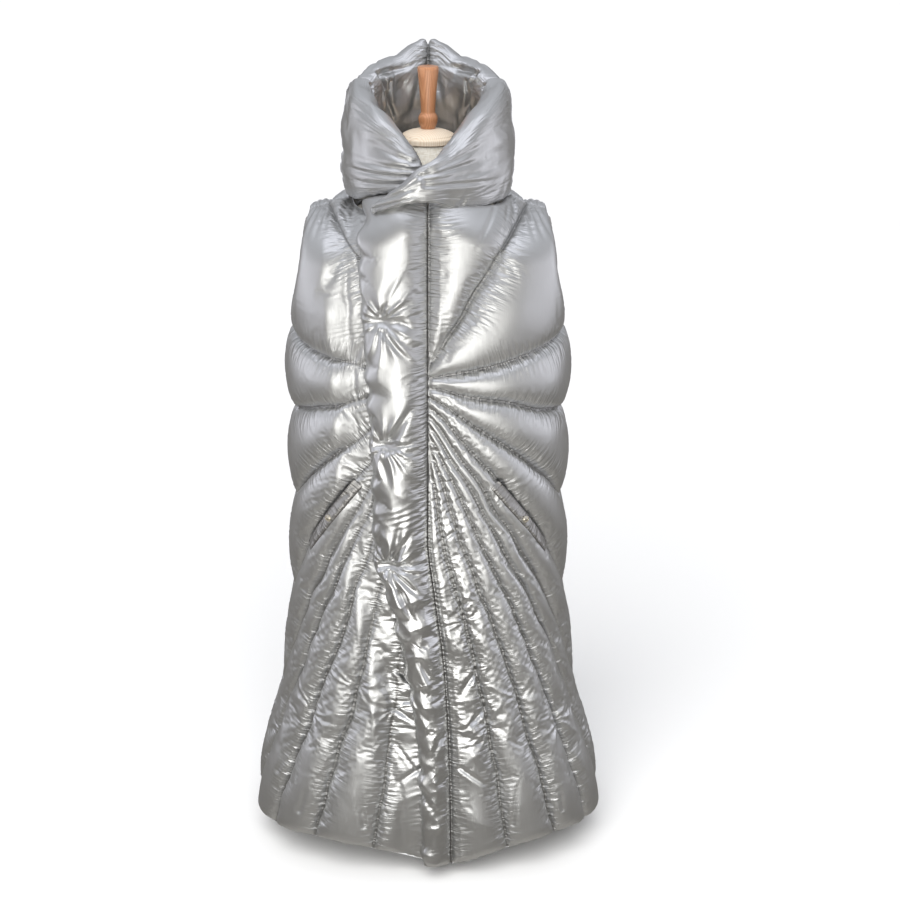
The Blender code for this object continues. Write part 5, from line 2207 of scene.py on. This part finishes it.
@dataclass(frozen=True)
class Studio:
    """A pale floor, soft light and the camera at the photograph's angle.

    The foil mirrors only the softboxes and an even grey, so that the floor doesn't wash it out.
    """

    camera_distance: float = 3.2
    camera_height: float = 1.95
    camera_pitch: float = 19.88
    lens: float = 72.35
    sensor: float = 36.0
    shift: float = 0.0244
    floor_radius: float = 60.0
    floor_colour: str = "#EDECEA"
    backdrop_colour: str = "#FFFFFF"
    deep_colour: str = "#B0ADA8"
    low_colour: str = "#77746F"
    high_colour: str = "#CED1D8"
    warm_light: str = "#FFFFFD"
    cool_light: str = "#EFF1FD"
    sun_strength: float = 2.9
    sun_softness: float = 50.0
    aim: tuple[float, float, float] = (0.0, 0.0, 0.9)
    aims: dict[str, tuple] = field(
        default_factory=lambda: {"key": (-0.1, 0.0, 0.9), "wide": (-0.1, 0.0, 0.9), "top": (0.0, 0.0, 1.0)}
    )
    diffuse: tuple[str, ...] = ("key", "wide", "front")  # softboxes that light matt surfaces too

    def camera(self) -> None:
        """A camera in front of the vest and above it, tilted down."""
        data = bpy.data.cameras.new("camera")
        data.lens, data.sensor_width, data.shift_x = self.lens, self.sensor, self.shift
        data.clip_end = 200
        made = bpy.data.objects.new("camera", data)
        made.location = (0, -self.camera_distance, self.camera_height)
        made.rotation_euler = (math.radians(90 - self.camera_pitch), 0, 0)
        bpy.context.scene.collection.objects.link(made)
        bpy.context.scene.camera = made

    def floor(self) -> None:
        """A large round floor that fills the picture."""
        turn = full_turn(64)
        rim = np.stack([np.cos(turn), np.sin(turn), 0 * turn], 1) * self.floor_radius
        mesh = bpy.data.meshes.new("floor")
        mesh.from_pydata(rim.tolist(), [], [list(range(len(rim)))])
        made = bpy.data.objects.new("floor", mesh)
        made.visible_glossy = False
        bpy.context.scene.collection.objects.link(made)
        surface, _, shader = new_material("studio_floor_paint")
        look = {"Base Color": linear(self.floor_colour), "Roughness": 0.9, "Specular IOR Level": 0.0}
        fill_in(shader, look)
        mesh.materials.append(surface)

    def room(self) -> None:
        """Even light from all round, darkest below, and as pale as the floor where the camera sees it."""
        world = bpy.data.worlds.new("studio")
        world.use_nodes = True
        tree = world.node_tree
        way = add(tree, "TexCoord").outputs["Generated"]
        up = add(tree, "SeparateXYZ", {0: way}).outputs["Z"]
        walls = linear(self.deep_colour)
        for start, end, colour in ((-0.90, -0.60, self.low_colour), (-0.05, 0.75, self.high_colour)):
            risen = {0: up, 1: start, 2: end}
            height = add(tree, "MapRange", risen, interpolation_type="SMOOTHSTEP").outputs[0]
            walls = blend(tree, height, walls, linear(colour))
        seen = add(tree, "LightPath").outputs["Is Camera Ray"]
        surround = blend(tree, seen, walls, linear(self.backdrop_colour))
        fill_in(tree.nodes["Background"], {"Color": surround})
        bpy.context.scene.world = world

    def lamp(self, name: str, kind: str, at: tuple, aim: tuple, power: float) -> Piece:
        """A lamp that faces a point and that the camera doesn't see.

        Args:
            name: its name.
            kind: AREA or SUN.
            at: where it is.
            aim: the point that it faces.
            power: its energy.

        Returns:
            The lamp.
        """
        data = bpy.data.lights.new(name, kind)
        data.energy = power
        made = bpy.data.objects.new(name, data)
        made.location = at
        way = np.array(aim, float) - np.array(at, float)
        tilt, turn = math.acos(-way[2] / np.linalg.norm(way)), math.atan2(way[1], way[0]) - QUARTER
        made.rotation_euler = (tilt, 0, turn)
        made.visible_camera = False
        bpy.context.scene.collection.objects.link(made)
        return made

    def softbox(self, name: str, at: tuple, size: tuple, brightness: float, colour: str) -> None:
        """A rectangular softbox that faces the vest.

        Args:
            name: its name, without the ending.
            at: where it is.
            size: its width and height.
            brightness: of its face, however large that is.
            colour: its light's colour.
        """
        power = brightness * math.pi * size[0] * size[1]
        made = self.lamp(f"{name}_softbox", "AREA", at, self.aims.get(name, self.aim), power)
        made.data.shape = "RECTANGLE"
        made.data.color = linear(colour)[:3]
        made.data.size, made.data.size_y = size
        made.visible_diffuse = name in self.diffuse

    def build(self) -> None:
        """Sets up the whole studio."""
        self.camera()
        self.floor()
        self.room()
        sun = self.lamp("ceiling_light", "SUN", (-0.6, -3.0, 3.4), (0, 0, 0), self.sun_strength)
        sun.data.angle = math.radians(self.sun_softness)
        sun.visible_glossy = False
        warm, cool = self.warm_light, self.cool_light
        self.softbox("key", (-0.12, -1.9, 0.62), (0.9, 0.9), 1.60, warm)
        self.softbox("wide", (-0.08, -2.0, 0.64), (2.0, 1.15), 1.25, warm)
        self.softbox("front", (0.0, -3.0, 0.60), (4.8, 1.1), 0.50, warm)
        self.softbox("top", (0.0, -1.2, 3.6), (3.2, 2.2), 0.9, cool)
        self.softbox("back", (0.0, 3.4, 0.9), (3.0, 1.6), 1.3, cool)
        for side in Side:
            x, name = side.value, side.name.lower()
            self.softbox(f"near_{name}", (1.9 * x, -0.7, 0.9), (1.9, 1.2), 0.76, cool)
            self.softbox(f"rim_{name}", (3.4 * x, 0.6, 1.2), (2.2, 2.4), 0.7, cool)
        bpy.context.scene.view_settings.view_transform = "Standard"


def main() -> None:
    """Builds the vest on its form, dresses it and lights it."""
    logging.basicConfig(level=logging.INFO, format="%(message)s")
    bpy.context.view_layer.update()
    for finish in FINISHES:
        MATERIALS[finish.name] = finish.build()
    Studio().build()
    wall, filling = Wall(), Filling()
    panels, hood = QuiltedPanels(wall), Hood()
    placket = Placket(wall, PanelCut(wall, Face.FRONT, SEAM_GAP / 2))
    panels.cut_all(filling)
    placket.build_sheet(filling)
    hood.build_sheets(filling)
    filled = filling.run()
    panels.build(filled)
    placket.build(filled)
    hood.build(filled)
    for sheet in panels.sheets[:2]:
        Pocket().build(sheet, filled[sheet.name])
    for side in Side:
        ArmholeBinding(wall).build(side)
    DressForm(wall).build()


if __name__ == "__main__":
    main()
